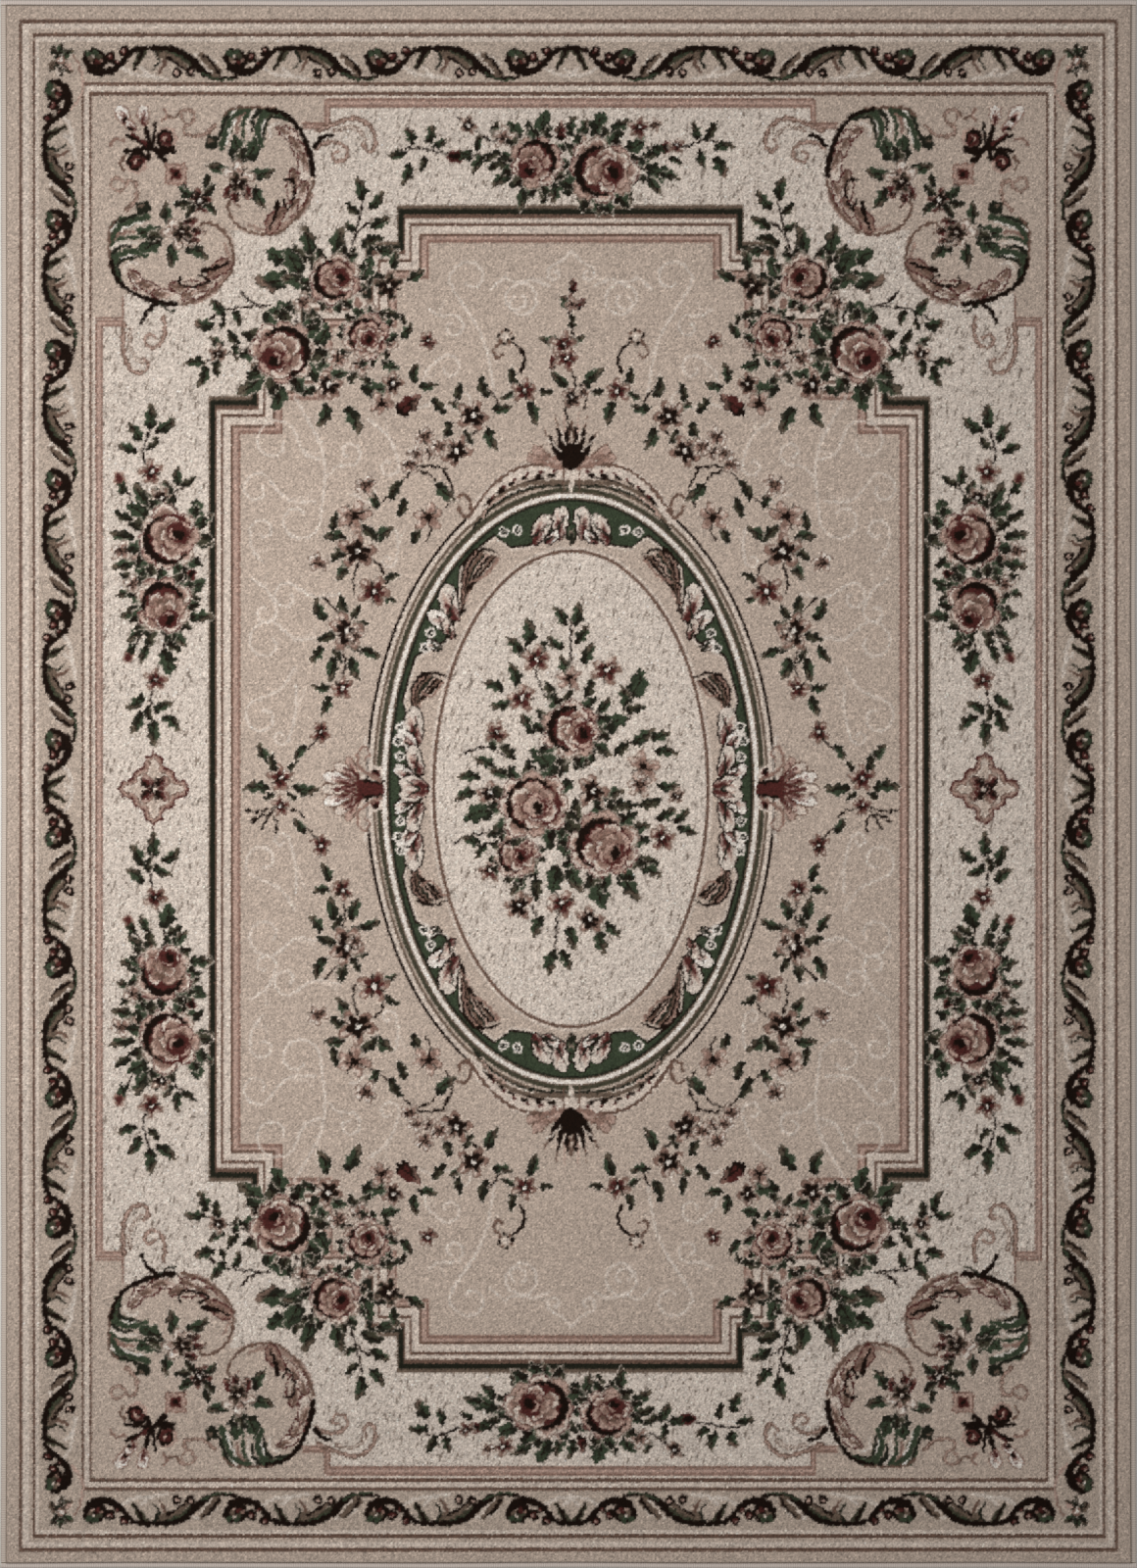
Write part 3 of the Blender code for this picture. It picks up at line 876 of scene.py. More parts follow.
def paintCorner(cloth):
    paintPalmette(cloth)
    paintScroll(cloth, lambda x, y: (x, y))
    paintScroll(cloth, lambda x, y: (y * 0.98 + 3, x * 0.955 + 6))
    cloth.bloom(203, 205, 14, 0, 5, "burgundy", "mauve", "black", "white")
    spray(cloth, cornerLeaves)
    # curled tips in the cream band
    for line, yarn, width in tips:
        if yarn in ("pink", "pale"):
            cloth.stem(line, "brown", width + 1.6, (1.1, 0.8))
            cloth.stem(line, yarn, 1.8)
        else:
            cloth.stem(line, yarn, width, (1.1, 0.8))


# medallion fillings: acanthus lobes in the green band, dark fronds between them
bandLobes = (  # yarn, fold, x, y, size, heading
    ("cream", "burgundy", 553, 541, 34, 28), ("cream", "burgundy", 572, 534, 34, 6),
    ("white", "burgundy", 563, 549, 18, 50),
    ("green", "dark", 583, 545, 20, 0), ("cream", "burgundy", 461, 615, 40, -16),
    ("white", "burgundy", 449, 636, 32, -46),
    ("pale", "burgundy", 459, 642, 22, -20), ("white", "dark", 443, 658, 18, -60),
    ("cream", "burgundy", 424, 741, 38, -8), ("white", "burgundy", 415, 758, 30, -42),
    ("cream", "burgundy", 425, 776, 32, -20),
    ("white", "burgundy", 414, 788, 26, -56), ("cream", "burgundy", 422, 801, 30, -84),
)
fringes = (  # upper end, middle, foot of the outermost strand, gap between strands
    ((484, 562), (473, 580), (471, 626), 2.7),
    ((431, 688), (420, 704), (423, 738), 2.4),
)
strandYarns = ("black", "mauve", "black", "brown", "dark", "pink", "black", "brown", "black", "mauve")


def paintBand(cloth):
    # cream acanthus lobes in the green, and combed dark strands where the band narrows
    for upper, middle, foot, gap in fringes:
        for i, yarn in enumerate(strandYarns):
            fall = 3.2 * i + 3.0 * np.sin(2.3 * i)
            line = (
                (upper[0] + gap * i, upper[1] + 0.9 * i),
                (middle[0] + gap * 0.9 * i, middle[1] + 0.6 * i + 1.5 * np.sin(3 * i)),
                (foot[0] + gap * 0.35 * i, foot[1] - fall),
            )
            cloth.stem(line, yarn, 2.9, (1.0, 0.8))
        brow = (upper, (upper[0] + 14, upper[1] - 1), (upper[0] + 26, upper[1] + 4))
        cloth.stem(brow, "black", 3.0, (1.2, 0.5))
    for yarn, fold, x, y, size, heading in bandLobes:
        cloth.lobe(x, y, size, heading, yarn, fold, 0.46, "black")
        turn = np.radians(heading + 25)
        foot = (x - 0.35 * size * np.sin(turn), y + 0.35 * size * np.cos(turn))
        head = (x + 0.3 * size * np.sin(turn), y - 0.3 * size * np.cos(turn))
        cloth.stem([foot, (x, y), head], "dark", 2.0, (1.4, 0.4))
    for x, y in ((528, 541), (514, 543), (439, 646), (433, 661), (409, 742), (406, 756), (408, 772)):
        cloth.ring(x, y, 4.2, "white", 2.2, "dark")
        cloth.dot(x + 0.5, y, 1.2, "white")


def paintCrest(cloth):
    # pale crest over the oval with its row of seeds, and the palmette above
    stem = cloth.stem
    stem([(480, 530), (492, 510), (512, 492), (534, 481), (560, 479), (583, 480)], "pale", 17, (0.5, 1.15))
    stem([(478, 529), (494, 505), (513, 487), (532, 477), (561, 474), (584, 475)], "brown", 3.2)
    stem([(484, 536), (500, 515), (520, 500), (545, 493), (584, 492)], "taupe", 4.6, (0.5, 1.1))
    stem([(482, 540), (502, 518), (524, 504), (550, 497), (584, 496)], "dark", 2.4)
    stem([(492, 528), (502, 514), (516, 505)], "pink", 2.0)
    stem([(466, 508), (474, 505), (480, 514), (479, 526), (471, 526), (468, 517)], "brown", 3.2)
    seeds = ((500, 511, 40), (511, 501, 50), (522, 494, 60), (535, 488, 65), (549, 486, 75), (563, 485, 80))
    for x, y, turn in seeds:
        cloth.dot(x, y, 2.2, "black", 1.8, turn)
        cloth.dot(x + 3, y - 4, 1.5, "burgundy", 1.5, turn)
    stem([(583, 470), (583, 500)], "pale", 5)
    stem([(575, 474), (575, 500)], "brown", 1.6)
    for tipX, tipY, yarn, width in (
        (546, 455, "mauve", 9), (549, 470, "mauve", 8), (555, 438, "brown", 4), (567, 424, "brown", 3.4),
        (576, 420, "pink", 3), (583, 428, "brown", 4), (561, 446, "black", 9), (570, 438, "black", 8),
        (579, 436, "black", 8), (553, 462, "pink", 4),
    ):
        bend = ((583 + tipX) / 2 - 3, (472 + tipY) / 2 + 4)
        stem([(583, 475), bend, (tipX, tipY)], yarn, width, (1.2, 0.35))
    stem([(578, 468), (568, 456), (558, 448)], "pale", 1.8)
    stem([(582, 462), (576, 450), (573, 440)], "pale", 1.6)
    cloth.dot(583, 466, 12, "black", 1.15)
    for x, y, size, heading in ((552, 462, 20, -52), (545, 468, 16, -76)):
        cloth.lobe(x, y, size, heading, "pink", "mauve", 0.5, "brown")


def paintSidePalmette(cloth):
    cloth.stem([(371, 805), (385, 805)], "burgundy", 15)
    cloth.stem([(370, 797), (390, 798)], "black", 3.6)
    cloth.ring(383, 789, 6, "pale", 3.2, "burgundy")
    cloth.dot(383, 787, 2.6, "black")
    for x, y, size, heading, yarn in (
        (360, 785, 26, -24, "pink"), (352, 790, 30, -46, "pale"),
        (346, 797, 34, -68, "white"), (346, 805, 36, -90, "pale"),
    ):
        cloth.lobe(x, y, size, heading, yarn, "burgundy", 0.36, "brown")
    cloth.stem([(368, 798), (358, 802), (342, 804)], "burgundy", 3.4, (1.2, 0.5))
    cloth.stem([(368, 796), (360, 788), (352, 784)], "burgundy", 2.4, (1.2, 0.6))
    curled = ((388, 796), (376, 790), (366, 782), (365, 770), (371, 762), (377, 768), (373, 775))
    cloth.stem(curled, "mauve", 3.0, (1.2, 0.7))


# lozenge between the side sprays
lozenge = {
    "x": 156.5,
    "y": 805.5,
    "reach": 38,
    "bands": (  # inset, yarn
        (0, "burgundy"), (3.0, "mauve"), (5.4, "pink"), (8.0, "brown"), (10.2, "pale"), (13, "tan"),
    ),
}


def paintLozenge(cloth):
    x, y = lozenge["x"], lozenge["y"]
    part, across, down = cloth.window(x, y, 46)
    dx, dy = abs(across - x), abs(down - y)
    scallop = 3.4 * np.cos((dx - dy) * 0.26) - 2.5 * np.exp(-((dx - dy) ** 2) / 40)
    points = 6 * np.exp(-np.minimum(dx, dy) / 3) * (np.maximum(dx, dy) > 28)
    gap = lozenge["reach"] - (dx + dy) + scallop + points
    for inset, yarn in lozenge["bands"]:
        cloth.lay(part, (gap - inset) * 0.75, yarn)
    cloth.bloom(x, y, 17, 45, 4, "mauve", "pink", "burgundy", "pale")
    for heading in (45, 135, 225, 315):
        a = np.radians(heading)
        leafX, leafY = x + 11 * np.sin(a), y - 11 * np.cos(a)
        cloth.leaf(leafX, leafY, 14, heading, "burgundy", "mauve", "black", 0.6, 0.4)


sideSprig = (
    ("bloom", 286, 794, 14, 0), ("leaf", 270, 768, 24, -35), ("leaf", 261, 804, 28, -90),
    ("leaf", 312, 804, 28, 92), ("deep", 279, 778, 20, -10), ("deep", 299, 782, 14, 40),
    ("bloom", 286, 822, 10, 0), ("deep", 298, 812, 14, 120), ("deep", 274, 812, 14, 240),
)
sideSprigStems = (
    ((251, 827), (262, 828), (275, 825), (288, 818)), ((257, 839), (265, 833), (275, 831)),
    ((281, 849), (282, 840), (278, 833)), ((310, 833), (304, 828), (296, 826)),
    ((266, 846), (272, 836), (280, 826)),
)

chain = {
    "stems": (
        ((583, 380), (587, 390), (584, 402), (576, 410)), ((576, 410), (578, 425), (583, 440)),
        ((591, 392), (598, 405), (596, 418)), ((583, 335), (585, 345), (582, 355)),
    ),
    "leaves": (
        ("wine", 584, 292, 16, 5), ("wine", 581, 310, 22, 5), ("dusk", 575, 309, 18, -25),
        ("wine", 590, 309, 18, 60), ("deep", 583, 328, 16, 0), ("leaf", 560, 346, 20, -85),
        ("leaf", 571, 388, 24, -50), ("leaf", 606, 386, 28, 45), ("wine", 566, 370, 18, 220),
        ("leaf", 588, 348, 20, 60),
    ),
    "flowers": (
        ("bloom", 575, 352, 14, 0), ("bloom", 578, 366, 13, 20), ("dim", 583, 406, 11, 0),
        ("blush", 584, 311, 7, 0), ("light", 596, 400, 6, 0),
    ),
    "roses": (),
}


# pale scrolls on the tan field: a stem that runs from its foot into a curl
scrolls = (  # foot x, foot y, curl x, curl y, radius, spin, bow
    (505, 404, 480, 284, 21, 1, -10), (500, 296, 530, 308, 22, 1, 8), (560, 292, 529, 306, 16, -1, -6),
    (432, 400, 458, 376, 15, 1, 6), (420, 420, 470, 408, 12, -1, 8), (438, 316, 462, 334, 12, 1, -4),
    (583, 256, 566, 280, 8, -1, 2), (300, 404, 304, 530, 24, 1, 16), (330, 470, 280, 452, 24, -1, 10),
    (322, 512, 262, 500, 17, -1, 12), (268, 574, 268, 542, 14, 1, 4), (334, 486, 356, 462, 13, -1, 5),
    (376, 428, 396, 476, 12, 1, 6), (346, 606, 292, 610, 15, -1, 9), (256, 590, 270, 625, 13, 1, 4),
    (322, 650, 272, 656, 22, -1, 10), (300, 682, 268, 732, 19, -1, 8), (302, 700, 286, 752, 9, 1, 3),
    (372, 752, 366, 788, 8, 1, 2), (404, 540, 396, 572, 8, 1, 2), (356, 505, 376, 504, 9, -1, 3),
)


def scrollLine(footX, footY, curlX, curlY, radius, spin, bow):
    away = np.hypot(footX - curlX, footY - curlY)
    toFoot = np.arctan2(footX - curlX, curlY - footY)
    touch = toFoot + spin * np.arccos(min(1, radius / away))
    side = np.array((curlY - footY, footX - curlX)) / away
    first = np.array((curlX + radius * np.sin(touch), curlY - radius * np.cos(touch)))
    line = [(footX, footY), (np.array((footX, footY)) + first) / 2 + side * bow]
    for k in range(9):
        turn = touch + spin * 0.72 * k
        reach = radius * (1 - 0.082 * k)
        line.append((curlX + reach * np.sin(turn), curlY - reach * np.cos(turn)))
    return line


def paintTracery(cloth):
    for row in scrolls:
        line = scrollLine(*row)
        cloth.stem(line, "pale", 4.4, (0.8, 0.8), strength=0.5)
        cloth.stem(line, "white", 1.7, strength=0.5)
        # a small leaf-like fork on the stem
        fork = (np.array(line[0]) + line[1]) / 2
        cloth.stem([line[1], fork + (7, -5), fork + (10, -12)], "pale", 2.6, (1, 0.6), strength=0.6)


def fleckCream(cloth):
    # Short slanting flecks of darker yarn over the cream grounds
    stray = np.random.default_rng(23)
    rough = stray.random((cloth.height + 8, cloth.width + 8))
    fleck = np.zeros((cloth.height, cloth.width))
    for step in range(6):
        for wide in (0, 1):
            left = 5 - step // 3 + wide
            fleck += rough[step : step + cloth.height, left : left + cloth.width]
    fleck = np.clip((fleck / 12 - 0.575) * 11, 0, 1)
    light = np.clip((0.36 - fleck) * 2, 0, 1)
    cream = np.array(yarns["cream"])
    near = np.clip(1 - np.abs(cloth.paint - cream).sum(2) / 12, 0, 1)
    shade = near * fleck * 0.85
    cloth.paint += (np.array(yarns["fleck"]) - cloth.paint) * shade[..., None]
    lift = near * np.clip((stray.random(near.shape) - 0.55) * 2, 0, 1) * light * 0.5
    cloth.paint += (np.array(yarns["white"]) - cloth.paint) * lift[..., None]


def paintHook(cloth):
    # a small hook with a ring of beads, over the spray beside the chain
    cloth.stem([(531, 380), (535, 370), (533, 360), (527, 353), (518, 348)], "black", 3.2, (1.1, 0.8))
    cloth.stem([(511, 350), (505, 355), (504, 361), (508, 365), (513, 362)], "brown", 3.0, (0.8, 1.1))
    for i in range(8):
        a = i * np.pi / 4 + 0.2
        cloth.dot(516 + 6.8 * np.sin(a), 344 - 6.8 * np.cos(a), 1.9, "brown" if i % 2 else "black")
    cloth.dot(516, 344, 3.6, "pale")


def makeChart():
    plain = Cloth(middleX, middleY, "tan")
    paintGround(plain)
    paintSteps(plain)
    paintMedallion(plain)
    whole = Cloth(chartWidth, chartHeight, "tan")
    unfold(whole, plain)
    fleckCream(whole)
    figures = Cloth(middleX, middleY)
    paintVine(figures)
    paintTracery(figures)
    paintBand(figures)
    paintCrest(figures)
    paintSidePalmette(figures)
    paintCorner(figures)
    paintLozenge(figures)
    paintHook(figures)
    paintSpray(figures, cornerBouquet)
    paintSpray(figures, sideSpray)
    paintSpray(figures, garland)
    unfold(whole, figures, 0.6)
    # figures that aren't mirrored: the bouquet, the chain, the side sprigs and the sprays at both ends
    single = Cloth(chartWidth, chartHeight)
    paintSpray(single, bouquet)
    paintSpray(single, chain)
    for place in (lambda x, y: (x, y), lambda x, y: (2 * middleX - x, y)):
        stems(single, [[place(x, y) for x, y in line] for line in sideSprigStems], "black", 2.4)
        for motif, x, y, size, turn in sideSprig:
            drawMotif(single, motif, *place(x, y), size, headingAt(place, turn))
    down, across = np.mgrid[0:chartHeight, 0:chartWidth] + 0.5
    sway = 0.7 * np.sin(down * 0.71 + 2 * np.sin(across * 0.29))
    lift = 0.7 * np.sin(across * 0.67 + 2 * np.sin(down * 0.33))
    whole.layCloth(single, across + sway, down + lift)
    top = Cloth(chartWidth, chartHeight)
    paintSpray(top, topSpray)
    whole.layCloth(top, across + sway, down + lift)
    below = down - middleY
    turnedDown = np.where(below > 0, middleY - tightened(below), -5)
    whole.layCloth(top, 2 * middleX - across + sway, turnedDown + lift)
    return whole


class Flow:
    # Wraps a shader socket, so that sums and products of values read as plain expressions
    def __init__(self, tree, socket=None):
        self.tree = tree
        self.socket = socket

    def math(self, operation, first, second):
        return self.node("ShaderNodeMath", {"operation": operation}, {0: first, 1: second})

    def __add__(self, other):
        return self.math("ADD", self, other)

    def __radd__(self, other):
        return self.math("ADD", other, self)

    def __sub__(self, other):
        return self.math("SUBTRACT", self, other)

    def __rsub__(self, other):
        return self.math("SUBTRACT", other, self)

    def __mul__(self, other):
        return self.math("MULTIPLY", self, other)

    def __rmul__(self, other):
        return self.math("MULTIPLY", other, self)

    def node(self, kind, settings, sockets, output=0):
        made = self.tree.nodes.new(kind)
        for name, value in settings.items():
            if name == "stops":
                for i, (place, grey) in enumerate(value):
                    stop = made.color_ramp.elements[i] if i < 2 else made.color_ramp.elements.new(place)
                    stop.position = place
                    stop.color = (grey, grey, grey, 1)
            else:
                setattr(made, name, value)
        for name, value in sockets.items():
            if isinstance(value, Flow):
                self.tree.links.new(value.socket, made.inputs[name])
            else:
                made.inputs[name].default_value = value
        return Flow(self.tree, made.outputs[output])

    def stretched(self, source, scale):
        return self.node("ShaderNodeVectorMath", {"operation": "MULTIPLY"}, {0: source, 1: scale})

    def tinted(self, colour, amount):
        # Brightens or darkens a colour by a value
        return self.node("ShaderNodeVectorMath", {"operation": "SCALE"}, {0: colour, "Scale": amount})


def clothMaterial(name):
    material = bpy.data.materials.new(name)
    material.use_nodes = True
    shader = material.node_tree.nodes["Principled BSDF"]
    shader.inputs["Specular IOR Level"].default_value = 0.06
    flow = Flow(material.node_tree)
    place = flow.node("ShaderNodeTexCoord", {}, {}, output="Object")
    return material, shader, flow, place


def finishMaterial(flow, shader, colour, roughness, height, depth, strength):
    tree = flow.tree
    tree.links.new(colour.socket, shader.inputs["Base Color"])
    tree.links.new(roughness.socket, shader.inputs["Roughness"])
    bump = flow.node("ShaderNodeBump", {}, {"Strength": strength, "Distance": depth, "Height": height})
    tree.links.new(bump.socket, shader.inputs["Normal"])


pileTextureAndShade = {
    "tuft": 0.0028,  # one knot
    "fibre": 0.0007,  # cut ends within a tuft
    # the next two amounts are painted shade: they darken the colour where the bump sinks, between tufts and
    # among fibre ends
    "tuftHollowShade": 0.16,
    "fibreHollowShade": 0.20,
    "rowShade": 0.10,
    "abrash": 0.12,  # slow change from one dye lot to the next, along the length
}


def makePileMaterial():
    material, shader, flow, place = clothMaterial("pileYarn")
    dyed = flow.node("ShaderNodeAttribute", {"attribute_name": "yarnColour"}, {}, output="Color")
    tuftScale = 1 / pileTextureAndShade["tuft"]
    fibreScale = 1 / pileTextureAndShade["fibre"]
    tufts = flow.node("ShaderNodeTexVoronoi", {}, {"Vector": place, "Scale": tuftScale, "Randomness": 0.7})
    fibres = flow.node("ShaderNodeTexNoise", {}, {"Vector": place, "Scale": fibreScale, "Detail": 2.0})
    rows = flow.node(
        "ShaderNodeTexNoise", {}, {"Vector": flow.stretched(place, (3, 340, 0)), "Scale": 1.0, "Detail": 1.0}
    )
    lots = flow.node(
        "ShaderNodeTexNoise", {}, {"Vector": flow.stretched(place, (0.7, 16, 0)), "Scale": 1.0, "Detail": 2.0}
    )
    # Painted shade from the tufts and fibres, darker where the bump sinks; the rows and dye lots are real
    # tone
    shade = (
        1.0
        + (0.45 - tufts) * pileTextureAndShade["tuftHollowShade"]
        + (fibres - 0.5) * pileTextureAndShade["fibreHollowShade"]
        + (rows - 0.5) * pileTextureAndShade["rowShade"]
        + (lots - 0.5) * pileTextureAndShade["abrash"]
    )
    height = (1 - tufts) + fibres * 0.6
    finishMaterial(flow, shader, flow.tinted(dyed, shade), 0.86 + fibres * 0.12, height, 0.0007, 0.35)
    return material


def makeBackMaterial():
    # Plain woven ground: weft over warp, seen from below and at the bare margin
    material, shader, flow, place = clothMaterial("wovenBack")
    threads = {"Vector": place, "Scale": 105.0, "Distortion": 0.6}
    across = flow.node("ShaderNodeTexWave", {"bands_direction": "X"}, threads, output="Fac")
    along = flow.node("ShaderNodeTexWave", {"bands_direction": "Y"}, threads, output="Fac")
    drawn = flow.stretched(place, (40, 400, 40))
    slubs = flow.node("ShaderNodeTexNoise", {}, {"Vector": drawn, "Scale": 1.0})
    # Painted shade: the colour darkens where the weave and the slubs sink in the bump
    weave = across * along
    colour = flow.node(
        "ShaderNodeMix",
        {"data_type": "RGBA"},
        {0: weave * 0.6 + slubs * 0.4, 6: (0.36, 0.29, 0.21, 1), 7: (0.62, 0.53, 0.41, 1)},
        output=2,
    )
    finishMaterial(flow, shader, colour, 0.84 + slubs * 0.14, weave + slubs * 0.3, 0.0008, 0.6)
    return material


edging = {
    "wrap": 0.0032,  # pitch of the wound yarn
    "lump": 0.0064,  # pitch of the modelled swell
    "swell": 0.00035,
    "step": 0.0022,
    "round": 6,
}


def makeEdgeMaterial(name, direction, light, dark):
    # Yarn wound over the edge: painted shade darkens the gap between wraps, twisted fibres along each
    material, shader, flow, place = clothMaterial(name)
    slant = (1, 0.16, 0.3) if direction == "X" else (0.16, 1, 0.3)
    wraps = flow.node(
        "ShaderNodeTexWave",
        {"bands_direction": direction},
        {
            "Vector": flow.stretched(place, slant),
            "Scale": math.pi / 10 / edging["wrap"],
            "Distortion": 0.9,
            "Detail Scale": 2.0,
        },
        output="Fac",
    )
    fibres = flow.node("ShaderNodeTexNoise", {}, {"Vector": place, "Scale": 900.0, "Detail": 2.0})
    wear = flow.node("ShaderNodeTexNoise", {}, {"Vector": place, "Scale": 9.0, "Detail": 3.0})
    # Painted shade: the wraps and fibres darken the colour where the bump sinks; the wear noise is real tone
    blend = wraps * 0.45 + fibres * 0.35 + wear * 0.30
    colour = flow.node("ShaderNodeMix", {"data_type": "RGBA"}, {0: blend, 6: dark, 7: light}, output=2)
    finishMaterial(flow, shader, colour, 0.82 + fibres * 0.15, wraps + fibres * 0.35, 0.0007, 0.5)
    return material


# The rug's own sizes, as the frame has them
rug = {
    "width": 1.60,
    "length": 2.21,
    "top": 0.0100,
    "waveDepth": 0.0011,
    "edgeWaves": {"left": (3, 7), "right": (4, 9), "top": (2, 5), "bottom": (3, 5)},
    "edgeWidth": 0.0070,
    "edgeHeight": 0.0054,
    "edgeYarn": 0.0012,
    "marginInset": 0.0013,
    "marginTop": 0.0039,
    "marginBottom": 0.0015,
}


def inward(side, share):
    # How far an edge lies inside the plain rectangle, at a share of its length
    slow, fast = rug["edgeWaves"][side]
    swell = np.sin(np.pi * slow * share) ** 2
    ripple = np.sin(np.pi * fast * share) ** 2
    return rug["waveDepth"] * (0.65 * swell + 0.35 * ripple)


pile = {
    "knotsAcross": 560,
    "knotsAlong": 776,
    "strips": 5,
    "edgeSteps": ((0.0076, 0.0040), (0.0079, 0.0082), (0.0086, 0.0093), (0.0098, 0.0097)),  # inset, height
    "flatInset": 0.0116,
    "height": 0.0097,
    "foot": 0.0033,
    "straySide": 0.00028,
    "strayUp": 0.00012,
    "nap": 0.00025,  # slow rise and fall of the pile
    "missedPlace": 0.28,  # how far a tuft strays from its place in the chart, in squares
    "tuftSpread": 0.12,
}


def pileGrid():
    # Places of all the knots' corners, with the rounded edge of the pile round them
    steps = [inset for inset, height in pile["edgeSteps"]]
    heights = [height for inset, height in pile["edgeSteps"]]

    def line(half, count):
        flat = half - pile["flatInset"]
        inner = np.linspace(-flat, flat, count + 1)
        outer = np.array([half - inset for inset in steps])
        level = np.concatenate((heights, np.full(count + 1, pile["height"]), heights[::-1]))
        return np.concatenate((-outer, inner, outer[::-1])), level

    lineX, levelX = line(rug["width"] / 2, pile["knotsAcross"])
    lineY, levelY = line(rug["length"] / 2, pile["knotsAlong"])
    x, y = np.meshgrid(lineX, lineY)
    z = np.minimum.outer(levelY, levelX)
    shareY = y / rug["length"] + 0.5
    shareX = x / rug["width"] + 0.5
    half = rug["width"] / 2
    x = x * (1 - np.where(x < 0, inward("left", shareY), inward("right", shareY)) / half)
    half = rug["length"] / 2
    y = y * (1 - np.where(y < 0, inward("bottom", shareX), inward("top", shareX)) / half)
    stray = np.random.default_rng(11)
    spot = pile["straySide"]
    inside = np.zeros(x.shape)
    inside[4:-4, 4:-4] = 1
    x = x + np.clip(stray.normal(0, spot * 0.5, x.shape), -spot, spot) * inside
    y = y + np.clip(stray.normal(0, spot * 0.5, x.shape), -spot, spot) * inside
    nap = np.sin(x * 19 + 2 * np.sin(y * 7)) * np.sin(y * 23 + 1.5 * np.sin(x * 11))
    strayUp = stray.normal(0, pile["strayUp"], x.shape).clip(-0.0003, 0.0003)
    z = z + (strayUp + pile["nap"] * (nap - 1) * 0.5) * inside
    return x, y, z


def tuftColours(chart, x, y):
    # Four tuft ends for each knot, each read from the chart a little off its place
    stray = np.random.default_rng(5)
    middleAcross = (x[:-1, :-1] + x[:-1, 1:] + x[1:, :-1] + x[1:, 1:]) / 4
    middleDown = (y[:-1, :-1] + y[:-1, 1:] + y[1:, :-1] + y[1:, 1:]) / 4
    ends = []
    for row, col in ((0, 0), (0, 1), (1, 1), (1, 0)):
        cornerX = x[row : row + middleAcross.shape[0], col : col + middleAcross.shape[1]]
        cornerY = y[row : row + middleAcross.shape[0], col : col + middleAcross.shape[1]]
        across = ((middleAcross + cornerX) / 2 / rug["width"] + 0.5) * chartWidth
        down = (0.5 - (middleDown + cornerY) / 2 / rug["length"]) * chartHeight
        across = across + stray.normal(0, pile["missedPlace"], across.shape)
        down = down + stray.normal(0, pile["missedPlace"], across.shape)
        across = np.clip(across, 0, chartWidth - 1).astype(int)
        down = np.clip(down, 0, chartHeight - 1).astype(int)
        colour = chart.paint[down, across] / 255
        colour = colour * (1 + stray.normal(0, pile["tuftSpread"], across.shape))[..., None]
        ends.append(np.clip(colour, 0, 1))
    return np.stack(ends, axis=2)


def makeStrip(name, x, y, z, colours, material):
    rows, cols = x.shape
    count = rows * cols
    index = np.arange(count).reshape(rows, cols)
    top = np.stack((index[:-1, :-1], index[:-1, 1:], index[1:, 1:], index[1:, :-1]), axis=2).reshape(-1, 4)
    rim = np.concatenate((index[0, :-1], index[:-1, -1], index[-1, :0:-1], index[:0:-1, 0]))
    foot = count + np.arange(len(rim))
    walls = np.stack((rim, foot, np.roll(foot, -1), np.roll(rim, -1)), axis=1)
    places = np.stack((x.ravel(), y.ravel(), z.ravel()), axis=1)
    footPlaces = places[rim].copy()
    footPlaces[:, 2] = pile["foot"]
    places = np.concatenate((places, footPlaces))
    mesh = bpy.data.meshes.new(name)
    loops = np.concatenate((top.ravel(), walls.ravel(), foot[::-1]))
    starts = np.concatenate((np.arange(len(top) + len(walls)) * 4, [4 * (len(top) + len(walls))]))
    mesh.vertices.add(len(places))
    mesh.vertices.foreach_set("co", places.ravel())
    mesh.loops.add(len(loops))
    mesh.loops.foreach_set("vertex_index", loops)
    mesh.polygons.add(len(starts))
    mesh.polygons.foreach_set("loop_start", starts)
    mesh.update(calc_edges=True)
    shades = np.ones((len(loops), 4), np.float32)
    shades[:, :3] = np.array(yarns["tan"]) / 255
    shades[: len(top) * 4, :3] = colours.reshape(-1, 3)
    dyed = mesh.color_attributes.new("yarnColour", "BYTE_COLOR", "CORNER")
    dyed.data.foreach_set("color_srgb", shades.ravel())
    # Flat map for the strip's top, with walls and foot in a narrow band above it
    low, high = places.min(0), places.max(0)
    flat = (places[loops, :2] - low[:2]) / (high[:2] - low[:2])
    flat[:, 1] *= 0.985
    flat[len(top) * 4 :, 1] = 0.992 + 0.007 * flat[len(top) * 4 :, 1]
    mesh.uv_layers.new(name="OFBake").data.foreach_set("uv", flat.ravel())
    mesh.materials.append(material)
    mesh.shade_smooth()
    mesh.set_sharp_from_angle(angle=math.radians(65))
    mesh.validate()
    strip = bpy.data.objects.new(name, mesh)
    bpy.context.collection.objects.link(strip)
    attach(strip, "root")
    return strip


def makePile(chart, material):
    x, y, z = pileGrid()
    colours = tuftColours(chart, x, y)
    cuts = np.linspace(0, x.shape[0] - 1, pile["strips"] + 1).round().astype(int)
    strips = []
    for i, (first, last) in enumerate(zip(cuts[:-1], cuts[1:])):
        part = slice(first, last + 1)
        name = f"pileStrip{i + 1}"
        strips.append(makeStrip(name, x[part], y[part], z[part], colours[first:last], material))
    return strips


def edgePlace(side, share, inset, height):
    # A point of the rug's edge: share runs along the side, inset into the rug
    if side in ("left", "right"):
        limit = rug["length"] / 2 - rug["edgeWidth"] - rug["waveDepth"] - 0.0003
        y = (2 * share - 1) * limit
        x = rug["width"] / 2 - inward(side, y / rug["length"] + 0.5) - inset
        return (-x if side == "left" else x, y, height)
    x = (share - 0.5) * rug["width"]
    y = rug["length"] / 2 - inward(side, share) - inset
    return (x, -y if side == "bottom" else y, height)


